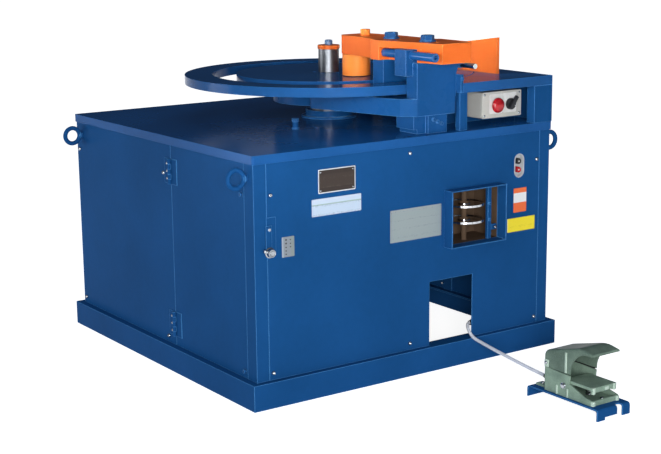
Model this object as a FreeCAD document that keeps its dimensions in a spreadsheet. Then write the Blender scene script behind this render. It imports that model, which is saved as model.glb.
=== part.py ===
import FreeCAD, Part
import Sketcher
import math
import os
from FreeCAD import Placement, Rotation, Vector

# Driving dimensions, in millimetres and degrees.
# Places are measured from the near left bottom corner of the plinth:
# X to the right along the front, Y to the back, Z up.
DIMENSIONS = {
    # Cabinet
    "cabinet_width": 1107,
    "cabinet_depth": 1120,
    "working_height": 840,
    "disc_above_table": 140,
    "plinth_height": 74,
    "plinth_wall": 6,
    "plinth_flange": 50,
    "body_side_inset": 22,
    "body_front_inset": 20,
    "table_side_inset": 18,
    "table_front_inset": 15,
    "table_thickness": 24,
    "table_corner": 6,
    "panel_sheet": 3,
    "seam": 0.5,
    "post_width": 40,
    "post_depth": 47,
    "post_wall": 5,
    "backing_strip": 48,
    "opening_left": -12,
    "opening_right": 151,
    "opening_top": 267,
    # Lifting eyes
    "eye_from_end": 54,
    "eye_below_table": 40,
    "eye_reach": 32.5,
    "eye_ring": 24.5,
    "eye_wire": 7,
    "eye_collar": 11,
    "eye_neck": 8.5,
    "eye_neck_length": 11.2,
    # Left door and its hinges
    "hinge_seam": 471,
    "hinge_leaf": 36,
    "hinge_height": 74,
    "hinge_upper": -78,
    "hinge_lower": 140,
    "hinge_sheet": 2,
    "hinge_barrel": 5.5,
    "hinge_pin": 3,
    "running_fit": 0.05,
    "soft_gap": 0.3,
    # Latch
    "latch_left": 60,
    "latch_patch": 30,
    "latch_low": -252,
    "latch_high": -147,
    "latch_sheet": 1.5,
    "strap_x": 66,
    "strap_pivot": -179,
    "strap_width": 19,
    "strap_sheet": 2.5,
    "strap_stud": -242,
    "stud_radius": 3.5,
    "stud_play": 2.5,
    "stud_length": 12,
    "pivot_head": 6,
    "pivot_head_height": 4,
    "strap_past": 10,
    "latch_knob_radius": 15,
    "latch_knob_depth": 16,
    "wing_reach": 8,
    "wing_inset": 3,
    "wing_half": 4,
    # Panel screws
    "screw_head": 6,
    "screw_rise": 7,
    "screw_shank": 3,
    "screw_length": 14,
    "screw_edge": 12,
    "screw_high": 87,
    "screw_top": 21,
    "screw_low": 20,
    "screw_middle": -86,
    "screw_from_hinge": 43,
    # Guard box and angle dials
    "guard_left": 41,
    "guard_right": 251,
    "guard_low": -312,
    "guard_high": -142,
    "guard_wall": 3,
    "guard_depth": 38,
    "dial_x": 146,
    "dial_y": 55,
    "dial_radius": 60,
    "dial_rim": 6,
    "dial_rim_width": 5,
    "dial_face_drop": 2,
    "dial_boss": 20,
    "dial_low": -251,
    "dial_spacing": 49,
    "dial_spindle": 8,
    "collar_radius": 14,
    "collar_height": 5.7,
    "housing_depth": 112,
    "pointer_length": 34,
    "pointer_height": 12,
    "pointer_depth": 14,
    "pointer_below": 1,
    "dial_bar_left": 208,
    "dial_bar_width": 13,
    "dial_bar_proud": 2,
    "dial_bar_behind": 6,
    "bar_screw": 4,
    "bar_screw_rise": 3,
    # Button station
    "station_x": 331,
    "station_z": -100,
    "station_width": 39,
    "station_height": 73,
    "station_bezel": 1.5,
    "station_depth": 34,
    "station_recess": 13,
    "power_button": 9,
    "button_pitch": 26,
    "button_travel": 3,
    "button_rise": 5,
    "station_back": 4,
    # Plates on the front
    "plate_sheet": 0.8,
    "name_plate_left": 230,
    "name_plate_width": 125,
    "name_plate_low": -102,
    "name_plate_height": 67,
    "rivet_radius": 3,
    "rivet_inset": 5,
    "rivet_rise": 1.5,
    "legend_half": 26.5,
    "legend_below": 26,
    "legend_above": 34,
    "white_label_left": 208,
    "white_label_low": -164,
    "white_label_width": 166,
    "white_label_height": 48,
    "grey_label_left": -156,
    "grey_label_low": -274,
    "grey_label_width": 186,
    "grey_label_height": 94,
    "latch_label_left": 109,
    "latch_label_low": -263,
    "latch_label_width": 40,
    "latch_label_height": 56,
    "orange_label_left": 311,
    "orange_label_low": -243,
    "orange_label_width": 51,
    "orange_label_height": 74,
    "yellow_label_left": 287,
    "yellow_label_low": -302,
    "yellow_label_width": 111,
    "yellow_label_height": 42,
    # Upper table
    "upper_left": 109,
    "upper_right_inset": 17,
    "upper_front": 17,
    "upper_plate_back": -113,
    "upper_plate_thickness": 28,
    "post_left": 111,
    "post_front": 36,
    "front_post_width": 28,
    "front_post_depth": 20,
    "recess_right": 386,
    "jamb_depth": 33,
    "recess_back": 170,
    "frame_sheet": 12,
    "frame_back": 317,
    "home_stop_width": 9,
    "home_stop_depth": 27,
    "home_stop_rise": 25,
    "home_stop_set_back": 2,
    "home_stop_bolt": 4,
    # Control box
    "control_left": 218,
    "control_right": 371,
    "control_low": -118,
    "control_high": -40,
    "control_front": 60,
    "control_corner": 4,
    "stop_x": 271,
    "selector_x": 325,
    "switch_z": -80,
    "stop_radius": 22.5,
    "stop_travel": 5,
    "stop_rim": 8,
    "stop_dome": 8,
    "stop_dome_front": 17,
    "switch_stem": 8,
    "switch_stem_length": 10,
    "switch_well": 8.3,
    "switch_well_spare": 2,
    "selector_radius": 17,
    "selector_depth": 10,
    "grip_width": 11,
    "grip_depth": 14,
    "grip_length": 44.2,
    "grip_tail": 16.15,
    "grip_tilt": 35,
    "grip_proud": 10,
    # Working disc, ring and spindle
    "axis_from_right": 475,
    "axis_y": 543,
    "ring_width": 86,
    "post_gap": 75,
    "ring_outer": 451,
    "disc_thickness": 27,
    "disc_hole_circle": 46,
    "disc_hole": 5,
    "disc_hole_depth": 8,
    "ring_gap": 4,
    "post_radius": 36,
    "post_foot_thickness": 12,
    "post_seat_thickness": 7,
    "spindle_bore": 40,
    "spindle_radius": 54,
    "spindle_flange": 80,
    "spindle_flange_thickness": 12,
    "bearing_radius": 66,
    "bearing_width": 24,
    "hub_radius": 75,
    "hub_foot": 88,
    "hub_rise": 24,
    "hub_flange": 120,
    "hub_flange_thickness": 12,
    "hub_lip_clear": 2,
    "hub_lip_thickness": 6,
    "hub_foot_height": 6,
    "bracket_radius": 28,
    "bracket_foot": 36,
    "foot_clear": 2,
    "bracket_foot_height": 12,
    "bracket_angle": 38,
    # Swing arm
    "turntable_radius": 175,
    "beam_clearance": 53,
    "beam_depth": 50,
    "column_clear": 3,
    "column_left": 44,
    "column_right": 99,
    "column_depth": 49,
    "beam_corner": 35,
    "beam_edge": 6,
    "beam_waist_left": 97,
    "beam_waist_back": 90,
    "beam_root_half": 172,
    "beam_root_reach": 143,
    "saddle_height": 65,
    "inner_post_left": 47,
    "inner_post_right": 58,
    "inner_post_clear": 18,
    "inner_post_depth": 50,
    "shoe_set_back": 5,
    "shoe_face": 12,
    "shoe_depth": 93,
    "shoe_step": 13,
    "shoe_left": 43,
    "shoe_pad_left": 31,
    "shoe_right": 70,
    "shoe_screw": 5,
    "shoe_screw_left": 19,
    "shoe_screw_pitch": 15,
    "shoe_screw_high": 40,
    "shoe_screw_fall": 7,
    "jaw_left": 69,
    "jaw_width": 40.5,
    "jaw_low": 28,
    "jaw_front": 20,
    "jaw_depth": 52,
    "flare_width": 27,
    "flare_height": 40,
    "flare_hollow": 38,
    "flare_hollow_right": 10,
    "flare_hollow_drop": 5,
    "rod_x": 133,
    "rod_z": 49,
    "rod_radius": 7,
    "rod_boss": 9.5,
    "rod_boss_set_back": 20,
    "rod_out": 45,
    "rod_in": 100,
    "rod_tip": 9,
    "rod_tip_radius": 7.6,
    # Roller arm
    "head_height": 57,
    "head_flange": 19,
    "arm_overhang": 74,
    "arm_shoulder": 68,
    "arm_left_shoulder": 72,
    "arm_left": -28,
    "arm_right": 96,
    "arm_nose_left": 16,
    "arm_nose_right": 4,
    "arm_taper": 148,
    "arm_taper_right": 21,
    "arm_taper_left": 5,
    "arm_belly": 20,
    "arm_web": 4,
    "arm_end_round": 14,
    "arm_past_roller": 50,
    "lug_left": -66,
    "lug_before_post": 4,
    "lug_length": 40,
    "clamp_x": 13,
    "clamp_near": 25,
    "clamp_far": 24,
    "clamp_far_shift": 12,
    "bolt_radius": 12,
    "bolt_grip": 40,
    "bolt_slot_play": 1,
    "bolt_head": 20,
    "bolt_head_height": 15,
    "washer_radius": 24,
    "washer_thickness": 4,
    "arm_travel": 30,
    "adjuster_x": -45,
    "adjuster_radius": 12.5,
    "adjuster_below_flange": 16.65,
    "adjuster_socket": 6.9,
    "adjuster_socket_depth": 10,
    "adjuster_out": 84,
    "roller_x": 2,
    "roller_y": -145,
    "roller_radius": 43,
    "roller_axle": 15,
    "roller_flange": 22,
    "roller_flange_height": 5,
    "roller_flange_clear": 1,
    "roller_clear": 2,
    "axle_cover": 10,
    "lock_pin_x": 13,
    "lock_pin_y": -177,
    "lock_pin_knob": 15,
    "lock_pin_rise": 19,
    "lock_pin_radius": 6,
    "lock_pin_depth": 23,
    # Centre roller
    "centre_roller": 32.5,
    "centre_pin": 15,
    "centre_height": 72,
    "centre_cap": 35,
    "centre_cap_height": 12,
    "centre_knob": 12.5,
    "centre_knob_height": 16,
    # Reaction plate
    "reaction_x": 348,
    "reaction_front": -394,
    "reaction_back": -105,
    "reaction_thickness": 12,
    "reaction_high": 111,
    "reaction_low": 90,
    "reaction_face_side": 14,
    "reaction_face_depth": 16,
    "reaction_face_height": 60,
    "reaction_slope": -243,
    # Drive
    "gear_module": 6,
    "gear_teeth": 72,
    "pinion_teeth": 18,
    "gear_width": 44,
    "gear_below_table": 120,
    "pinion_angle": 150,
    "pinion_bore": 18,
    "pinion_shaft_over": 8,
    "deck_drop": 156,
    "deck_thickness": 12,
    "deck_left": -382,
    "deck_right": 268,
    "deck_near": -243,
    "deck_far": 277,
    "stay_size": 30,
    "cup_wall": 10,
    "cup_floor_height": 1,
    "shaft_hole": 36,
    "gearbox_size": 190,
    "gearbox_height": 150,
    "gearbox_corner": 15,
    "gearbox_bolt": 9,
    "gearbox_bolt_height": 7,
    "gearbox_bolt_inset": 18,
    "motor_radius": 85,
    "motor_height": 200,
    "cowl_height": 50,
    "cowl_inset": 4,
    "fin_inset": 15,
    "fin_height": 8,
    "terminal_reach": 45,
    "terminal_width": 55,
    "terminal_half": 45,
    "terminal_drop": 40,
    "terminal_height": 80,
    "electrical_width": 240,
    "electrical_depth": 120,
    "electrical_height": 260,
    "electrical_left": 120,
    "electrical_low": -476,
    "electrical_door_edge": 6,
    "oil_x": -244,
    "oil_y": -175,
    "oil_radius": 9,
    "oil_rise": 32,
    "oil_foot": 12,
    "oil_foot_height": 4,
    "oil_cap": 10.5,
    "oil_cap_height": 10,
    "sensor_size": 24,
    "sensor_from_gear": 34,
    "sensor_stem": 4,
    "sensor_stem_height": 8,
    # Foot switch
    "switch_reach": 602,
    "bracket_left": 57,
    "bracket_width": 122,
    "bracket_length": 272,
    "bracket_height": 32,
    "bracket_sheet": 4,
    "bracket_bend": 9,
    "bracket_notch": 20,
    "notch_from_right": 48,
    "notch_reach": 5,
    "front_foot_width": 29,
    "bracket_foot_rise": 8,
    "base_left": 67,
    "base_width": 102,
    "base_front": -571,
    "base_back": -385,
    "base_wall": 5,
    "base_rear_height": 67,
    "base_side_height": 27,
    "case_slope": 4,
    "case_rake": 3,
    "side_rise": 13,
    "side_fall": 7,
    "nose_length": 34,
    "nose_height": 13,
    "case_front": -486,
    "cast_corner": 6,
    "hood_back_height": 46,
    "hood_back_round": 20,
    "crown_y": -525,
    "crown_z": 182,
    "crown_round": 100,
    "visor_tip": -568,
    "visor_high": 174,
    "visor_low": 167,
    "cheek_round": 66,
    "hood_wall": 4,
    "hood_roof": 9,
    "pedal_near": -565,
    "pedal_far": -462,
    "pedal_sheet": 8,
    "pedal_lip": 5,
    "pedal_lip_drop": 6,
    "pedal_web": 12,
    "pedal_side_gap": 1,
    "pedal_pin_y": -462,
    "pedal_pin_z": 63,
    "pedal_pin": 5,
    "pivot_nut": 9,
    "pivot_nut_height": 6,
    "pedal_barrel_wall": 5,
    "pedal_lift": 72,
    "spring_radius": 9,
    "spring_wire": 2,
    "spring_turns": 4,
    "spring_from_front": 61,
    "lug_half": 12,
    "base_lug_length": 42,
    "base_lug_thickness": 6,
    "base_lug_screw": 28,
    "lug_screw_head": 5,
    "lug_screw_rise": 4,
    "lug_spread": 28,
    "front_screw": 17,
    # Foot switch cord
    "cord_entry": 14,
    "cord_radius": 5,
    "gland_radius": 11,
    "gland_length": 24,
    "clamp_wall": 2,
}

document = FreeCAD.newDocument("rebar_bending_machine")


class Size:
    """A length or angle: its number, and the sheet formula that gives it."""

    def __init__(self, value, text):
        self.value = value
        self.text = text

    def __add__(self, other):
        return Size(self.value + number(other), f"({self.text} + {formula(other)})")

    def __radd__(self, other):
        return Size(number(other) + self.value, f"({formula(other)} + {self.text})")

    def __sub__(self, other):
        return Size(self.value - number(other), f"({self.text} - {formula(other)})")

    def __rsub__(self, other):
        return Size(number(other) - self.value, f"({formula(other)} - {self.text})")

    def __mul__(self, other):
        return Size(self.value * number(other), f"({self.text} * {formula(other)})")

    __rmul__ = __mul__

    def __truediv__(self, other):
        return Size(self.value / number(other), f"({self.text} / {formula(other)})")

    def __neg__(self):
        return Size(-self.value, f"(0 - {self.text})")


def number(size):
    return size.value if isinstance(size, Size) else float(size)


def formula(size):
    return size.text if isinstance(size, Size) else f"({size:.6f})"


class SizeSheet:
    """The spreadsheet of driving dimensions, read as attributes."""

    def __init__(self, dimensions):
        sheet = document.addObject("Spreadsheet::Sheet", "Sizes")
        for row, (alias, value) in enumerate(dimensions.items(), start=1):
            sheet.set(f"A{row}", alias)
            sheet.set(f"B{row}", str(value))
            sheet.setAlias(f"B{row}", alias)
        document.recompute()
        for alias in dimensions:
            setattr(self, alias, Size(float(sheet.get(alias)), f"Sizes.{alias}"))


size = SizeSheet(DIMENSIONS)

# Many places are sizes from a datum: the bending axis, the table's underside or the working level.
# Here each becomes a place from the corner of the plinth, so whatever moves a datum moves its pieces.
FROM_AXIS_ACROSS = (
    "opening_left", "opening_right", "screw_middle", "guard_left", "guard_right", "dial_x", "dial_bar_left",
    "station_x", "grey_label_left", "orange_label_left", "yellow_label_left", "upper_left", "post_left",
    "recess_right", "control_left", "control_right", "stop_x", "selector_x", "rod_x", "arm_left", "arm_right",
    "lug_left", "clamp_x", "adjuster_x", "roller_x", "lock_pin_x", "reaction_x", "deck_left", "deck_right",
    "oil_x", "bracket_left", "base_left",
)
FROM_AXIS_BACK = (
    "roller_y", "lock_pin_y", "deck_near", "deck_far", "oil_y", "frame_back", "upper_plate_back",
    "reaction_front", "reaction_back", "reaction_slope",
)
FROM_TABLE_UNDERSIDE = (
    "hinge_upper", "latch_low", "latch_high", "strap_pivot", "strap_stud", "guard_low", "guard_high",
    "dial_low", "station_z", "name_plate_low", "white_label_low", "grey_label_low", "latch_label_low",
    "orange_label_low", "yellow_label_low", "electrical_low",
)
FROM_WORKING_LEVEL = ("control_low", "control_high", "switch_z", "rod_z", "saddle_height", "jaw_low")

work = size.working_height
table_top = work - size.disc_above_table
table_underside = table_top - size.table_thickness
axis_x = size.cabinet_width - size.axis_from_right

for names, datum in ((FROM_AXIS_ACROSS, axis_x), (FROM_AXIS_BACK, size.axis_y),
                     (FROM_TABLE_UNDERSIDE, table_underside), (FROM_WORKING_LEVEL, work)):
    for name in names:
        setattr(size, name, datum + getattr(size, name))


def cosine(angle, length):
    turned = f"({formula(length)} * cos({formula(angle)} * 1 deg))"
    return Size(number(length) * math.cos(math.radians(number(angle))), turned)


def sine(angle, length):
    turned = f"({formula(length)} * sin({formula(angle)} * 1 deg))"
    return Size(number(length) * math.sin(math.radians(number(angle))), turned)


# Helpers for solids whose sizes and places come from the sheet

CUT_PAST = 1
NEAR = 0.01
FULL_TURN = 360
nodes = []


def bind(item, property_name, value):
    item.setExpression(property_name, formula(value))


def place(item, x=0, y=0, z=0):
    for axis, value in zip("xyz", (x, y, z)):
        bind(item, f"Placement.Base.{axis}", value)
    return item


def box(x, y, z):
    """A block between pairs of places along each axis."""
    block = document.addObject("Part::Box", "block")
    for name, (low, high) in zip(("Length", "Width", "Height"), (x, y, z)):
        bind(block, name, high - low)
    return place(block, x[0], y[0], z[0])


AXIS_TURN = {
    "X": Rotation(Vector(0, 1, 0), 90),
    "Y": Rotation(Vector(1, 0, 0), -90),
    "Z": Rotation(),
}


def along(axis, centre, start):
    """The place of a point at start along an axis whose other two coordinates are centre."""
    first, second = centre
    return {"X": (start, first, second), "Y": (first, start, second), "Z": (first, second, start)}[axis]


def rod(axis, centre, span, radius):
    """A round bar along an axis; centre holds its two other coordinates."""
    bar = document.addObject("Part::Cylinder", "bar")
    bar.Placement = Placement(Vector(), AXIS_TURN[axis])
    bind(bar, "Radius", radius)
    bind(bar, "Height", span[1] - span[0])
    return place(bar, *along(axis, centre, span[0]))


def cone(axis, centre, span, radii):
    taper = document.addObject("Part::Cone", "taper")
    taper.Placement = Placement(Vector(), AXIS_TURN[axis])
    bind(taper, "Radius1", radii[0])
    bind(taper, "Radius2", radii[1])
    bind(taper, "Height", span[1] - span[0])
    return place(taper, *along(axis, centre, span[0]))


def hexagon(axis, centre, span, circumradius):
    prism = document.addObject("Part::Prism", "hexagon")
    prism.Polygon = 6
    prism.Placement = Placement(Vector(), AXIS_TURN[axis])
    bind(prism, "Circumradius", circumradius)
    bind(prism, "Height", span[1] - span[0])
    return place(prism, *along(axis, centre, span[0]))


def fuse(*parts):
    union = document.addObject("Part::MultiFuse", "union")
    union.Shapes = list(parts)
    union.Refine = True
    return union


def cut(base, *tools):
    rest = document.addObject("Part::Cut", "rest")
    rest.Base = base
    rest.Tool = tools[0] if len(tools) == 1 else fuse(*tools)
    return rest


def common(base, tool):
    shared = document.addObject("Part::Common", "shared")
    shared.Base = base
    shared.Tool = tool
    return shared


def group(*parts):
    """Separate solids kept in one node, such as a set of screws."""
    members = document.addObject("Part::Compound", "members")
    members.Links = list(parts)
    return members


def past(span):
    """A span that runs a little past both ends, for a hole cut right through."""
    return (span[0] - CUT_PAST, span[1] + CUT_PAST)


def inset(span, margin):
    return (span[0] + margin, span[1] - margin)


def tube(axis, centre, span, inner, outer):
    return cut(rod(axis, centre, span, outer), rod(axis, centre, past(span), inner))


PLANES = {"XY": "XY_Plane", "XZ": "XZ_Plane", "YZ": "YZ_Plane"}


def outline(body, plane, corners):
    """A closed sketch of straight edges whose corners are held by dimensions."""
    sketch = body.newObject("Sketcher::SketchObject", "outline")
    origin = next(item for item in body.Origin.OriginFeatures if item.Role == PLANES[plane])
    sketch.AttachmentSupport = (origin, "")
    sketch.MapMode = "FlatFace"
    points = [Vector(number(first), number(second), 0) for first, second in corners]
    for start, end in zip(points, points[1:] + points[:1]):
        sketch.addGeometry(Part.LineSegment(start, end))
    count = len(points)
    for index in range(count):
        sketch.addConstraint(Sketcher.Constraint("Coincident", index, 2, (index + 1) % count, 1))
    for index, corner in enumerate(corners):
        for kind, value in zip(("DistanceX", "DistanceY"), corner):
            held = Sketcher.Constraint(kind, -1, 1, index, 1, number(value))
            constraint = sketch.addConstraint(held)
            bind(sketch, f"Constraints[{constraint}]", value)
    return sketch


def slab(plane, corners, span):
    """A flat piece: an outline padded square to its plane between two places."""
    body = document.addObject("PartDesign::Body", "slab")
    sketch = outline(body, plane, corners)
    pad = body.newObject("PartDesign::Pad", "pad")
    pad.Profile = sketch
    bind(pad, "Length", span[1] - span[0])
    pad.Reversed = plane == "XZ"
    shift = {"XY": (0, 0, span[0]), "XZ": (0, span[0], 0), "YZ": (span[0], 0, 0)}[plane]
    return place(body, *shift)


def turned(profile, x, y, z=0):
    """A round piece: a half outline of radii and heights turned about an upright axis."""
    body = document.addObject("PartDesign::Body", "turned")
    sketch = outline(body, "XZ", profile)
    revolution = body.newObject("PartDesign::Revolution", "revolution")
    revolution.Profile = sketch
    revolution.ReferenceAxis = (sketch, ["V_Axis"])
    revolution.Angle = FULL_TURN
    return place(body, x, y, z)


def round_edges(body, radius, chosen):
    """Round the edges of a body that the chosen test picks."""
    document.recompute()
    tip = body.Tip
    names = [f"Edge{index}" for index, edge in enumerate(tip.Shape.Edges, start=1) if chosen(edge)]
    rounding = body.newObject("PartDesign::Fillet", "rounding")
    rounding.Base = (tip, names)
    bind(rounding, "Radius", radius)
    return body


def is_straight(edge, direction):
    if edge.Curve.TypeId != "Part::GeomLine":
        return False
    return abs(edge.Curve.Direction.dot(Vector(*direction))) > 0.999


def upright(edge):
    return is_straight(edge, (0, 0, 1))


def lengthwise(edge):
    return is_straight(edge, (0, 1, 0))


def crosswise(edge):
    return is_straight(edge, (1, 0, 0))


def at_level(edge, level):
    return abs(edge.CenterOfMass.z - level) < NEAR


def at_back(edge, place_back):
    return abs(edge.CenterOfMass.y - place_back) < NEAR


# The part stands with its origin below the middle of its whole outline:
# the cabinet with its eyes, and the foot switch in front of it.
corner_x = -size.cabinet_width / 2
corner_y = (size.switch_reach - size.cabinet_depth) / 2


def node(label, item, x=0, y=0, z=0):
    """Name a finished sub-part and set it in the part's own frame."""
    item.Label = label
    place(item, corner_x + x, corner_y + y, z)
    nodes.append(item)
    return item


# Levels and places that several sub-parts share

body_left = size.body_side_inset
body_right = size.cabinet_width - size.body_side_inset
body_front = size.body_front_inset
body_back = size.cabinet_depth - size.body_front_inset
panel_low = size.plinth_height
panel_high = table_underside
table_left = size.table_side_inset
table_right = size.cabinet_width - size.table_side_inset
table_front = size.table_front_inset
table_back = size.cabinet_depth - size.table_front_inset

disc_under = work - size.disc_thickness
plate_under = work - size.upper_plate_thickness
axis = (axis_x, size.axis_y)
upper_right = size.cabinet_width - size.upper_right_inset

deck_top = table_underside - size.deck_drop + size.deck_thickness
deck_low = table_underside - size.deck_drop
cup_floor = deck_low + size.cup_floor_height
gear_low = table_underside - size.gear_below_table
gear_high = gear_low + size.gear_width
beam_low = table_top + size.beam_clearance
beam_high = beam_low + size.beam_depth

ring_inner = size.ring_outer - size.ring_width
disc_radius = ring_inner - size.post_gap
switch_x = size.base_left + size.base_width / 2

arm_reach = size.ring_outer + size.column_clear + size.column_depth
arm_front = size.axis_y - arm_reach
inner_post_front = size.axis_y - ring_inner + size.inner_post_clear
frame_from_axis = size.axis_from_right - size.upper_right_inset - size.frame_sheet
bracket_circle = frame_from_axis - size.bracket_foot - size.foot_clear


def around(angle, radius):
    """The place at an angle and radius about the bending axis."""
    return axis_x + cosine(angle, radius), size.axis_y + sine(angle, radius)


# Plinth of angle section, with its flange turned in at the top

def plinth_frame():
    wall = size.plinth_wall
    flange = size.plinth_flange
    high = size.plinth_height
    across = (0, size.cabinet_width)
    deep = (0, size.cabinet_depth)
    outer = box(across, deep, (0, high))
    inner = box(inset(across, wall), inset(deep, wall), (-CUT_PAST, high - wall))
    well = box(inset(across, flange), inset(deep, flange), (0, high + CUT_PAST))
    return cut(outer, inner, well)


node("plinth_frame", plinth_frame())


# Panels of thin sheet

post_inner_left = body_left + size.post_width + size.seam
post_inner_right = body_right - size.post_width - size.seam
front_sheet = (body_front, body_front + size.panel_sheet)


def station_cut(grow, y):
    """The pill-shaped opening of the button station, grown by a margin."""
    half = size.station_width / 2 + grow
    rise = size.station_height / 2 - size.station_width / 2
    low = size.station_z - rise
    high = size.station_z + rise
    middle = box((size.station_x - half, size.station_x + half), y, (low, high))
    return fuse(middle, rod("Y", (size.station_x, low), y, half), rod("Y", (size.station_x, high), y, half))


def front_screw_places():
    """The X and Z of the screws of the front panel: three high up and three low down."""
    edge = size.screw_edge
    columns = (post_inner_left + edge, size.screw_middle, post_inner_right - edge)
    high = (panel_high - size.screw_high, panel_high - size.screw_top, panel_high - size.screw_high)
    low = panel_low + size.screw_low
    return list(zip(columns, high)) + [(x, low) for x in columns]


def side_screw_places():
    """The Y and Z of the screws of a side panel: beside the hinges and at the rear post."""
    columns = (size.hinge_seam + size.screw_from_hinge, body_back - size.screw_edge - size.panel_sheet * 2)
    levels = (panel_high - size.screw_high, panel_low + size.screw_low)
    return [(y, z) for y in columns for z in levels]


def screw_holes(axis_name, centres, surface, outward):
    """Holes for the shanks of screws whose heads stand on a surface."""
    depth = size.screw_length * outward
    span = (surface - depth, surface) if outward > 0 else (surface, surface - depth)
    return [rod(axis_name, centre, span, size.screw_shank) for centre in centres]


def all_screw_holes():
    return (screw_holes("Y", front_screw_places(), body_front, -1)
            + screw_holes("X", side_screw_places(), body_left, -1)
            + screw_holes("X", side_screw_places(), body_right, 1))


def front_panel():
    sheet = box((post_inner_left, post_inner_right), front_sheet, (panel_low, panel_high))
    through = past((body_front, body_front + size.panel_sheet))
    opening = box((size.opening_left, size.opening_right), through, (panel_low - CUT_PAST, size.opening_top))
    wall = size.guard_wall
    window = box(inset((size.guard_left, size.guard_right), wall), through,
                 inset((size.guard_low, size.guard_high), wall))
    station = station_cut(-size.station_bezel + size.seam, through)
    return cut(sheet, opening, window, station, *screw_holes("Y", front_screw_places(), body_front, -1))


node("front_panel", front_panel())


def side_panels():
    sheet = size.panel_sheet
    rear = box((body_left, body_right), (body_back - sheet, body_back), (panel_low, panel_high))
    right_y = (body_front + size.post_depth + size.seam, body_back - sheet)
    right = box((body_right - sheet, body_right), right_y,
                (panel_low, panel_high))
    left = box((body_left, body_left + sheet), (size.hinge_seam + size.seam, body_back - sheet),
               (panel_low, panel_high))
    right_holes = screw_holes("X", side_screw_places(), body_right, 1)
    left_holes = screw_holes("X", side_screw_places(), body_left, -1)
    return group(rear, cut(right, *right_holes), cut(left, *left_holes))


node("cabinet_panels", side_panels())


# Cabinet frame: four angle posts, strips that the panels screw to, and two top rails

def post(x, y, toward_x, toward_y):
    """An angle post with its outer corner at x, y and its legs running inward."""
    width = size.post_width * toward_x
    depth = size.post_depth * toward_y
    wall_x = size.post_wall * toward_x
    wall_y = size.post_wall * toward_y
    corners = [(x, y), (x + width, y), (x + width, y + wall_y), (x + wall_x, y + wall_y),
               (x + wall_x, y + depth), (x, y + depth)]
    return slab("XY", corners, (panel_low, panel_high))


def cabinet_frame():
    sheet = size.panel_sheet
    strip = size.backing_strip
    front = body_front
    back = body_back - sheet
    strip_deep = front + sheet
    hinge_side = body_right - sheet - size.post_wall
    parts = [
        box((hinge_side, hinge_side + size.post_wall),
            (size.hinge_seam + size.seam, size.hinge_seam + size.seam + strip), (panel_low, panel_high)),
        post(body_left, front, 1, 1),
        post(body_right, front, -1, 1),
        post(body_left + sheet, back, 1, -1),
        post(body_right - sheet, back, -1, -1),
    ]
    strip_left = body_left + size.post_width - size.post_wall
    strip_right = body_right - size.post_width + size.post_wall
    strips = [
        ((strip_left, strip_left + strip), (strip_deep, strip_deep + size.post_wall)),
        ((strip_right - strip, strip_right), (strip_deep, strip_deep + size.post_wall)),
    ]
    parts += [box(x, y, (panel_low, panel_high)) for x, y in strips]
    inner_left = body_left + sheet + size.soft_gap
    door_strip = front + size.post_depth - size.post_wall
    parts.append(box((inner_left, inner_left + size.post_wall), (door_strip, door_strip + strip),
                     (panel_low, panel_high)))
    hinge_strip = size.hinge_seam + size.seam
    parts.append(box((body_left + sheet, body_left + sheet + size.post_wall),
                     (hinge_strip, hinge_strip + strip), (panel_low, panel_high)))
    rail_low = panel_high - size.post_width
    rail = (size.deck_left, size.deck_left + size.post_wall)
    parts.append(box(rail, (strip_deep, back), (rail_low, panel_high)))
    far_rail = (size.deck_right, size.deck_right + size.post_wall)
    parts.append(box(far_rail, (strip_deep, back), (rail_low, panel_high)))
    return cut(fuse(*parts), *all_screw_holes())


node("cabinet_frame", cabinet_frame())


# Left door, with the hinge leaves that turn with it and its own screws

hinge_x = body_left - size.hinge_barrel - size.soft_gap
hinge_axis = (hinge_x, size.hinge_seam)
HINGE_LEVELS = ("hinge_upper", "hinge_lower")
KNUCKLE_COUNT = 5


def knuckle_spans(level, moving):
    """The heights of the barrel knuckles of one leaf; the two leaves take turns."""
    low = level - size.hinge_height / 2
    pitch = size.hinge_height / KNUCKLE_COUNT
    first = 1 if moving else 0
    gap = size.soft_gap / 2
    return [(low + pitch * index + gap, low + pitch * (index + 1) - gap)
            for index in range(first, KNUCKLE_COUNT, 2)]


def hinge_leaf(level, moving):
    """One leaf with its knuckles, flat on the outside of the sheet."""
    side = -1 if moving else 1
    near = size.hinge_seam + size.soft_gap * side
    far = size.hinge_seam + size.hinge_leaf * side
    y = (far, near) if moving else (near, far)
    low = level - size.hinge_height / 2
    plate = box((body_left - size.hinge_sheet, body_left), y, (low, low + size.hinge_height))
    gaps = [rod("Z", hinge_axis, span, size.hinge_barrel + size.soft_gap)
            for span in other_spans(level, moving)]
    barrels = [rod("Z", hinge_axis, span, size.hinge_barrel) for span in knuckle_spans(level, moving)]
    pin_hole = rod("Z", hinge_axis, past((low, low + size.hinge_height)), size.hinge_pin + size.running_fit)
    return cut(fuse(cut(plate, *gaps), *barrels), pin_hole)


def other_spans(level, moving):
    """The heights that a leaf leaves free for the knuckles of the other one."""
    gap = size.soft_gap
    return [(low - gap, high + gap) for low, high in knuckle_spans(level, not moving)]


def pan_screw(axis_name, centre, surface, outward):
    """A screw whose head stands on a surface; outward is 1 or -1 along the axis."""
    depth = size.screw_length
    head = (surface, surface + size.screw_rise) if outward > 0 else (surface - size.screw_rise, surface)
    stem = (surface - depth, surface) if outward > 0 else (surface, surface + depth)
    return fuse(rod(axis_name, centre, head, size.screw_head), rod(axis_name, centre, stem, size.screw_shank))


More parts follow.
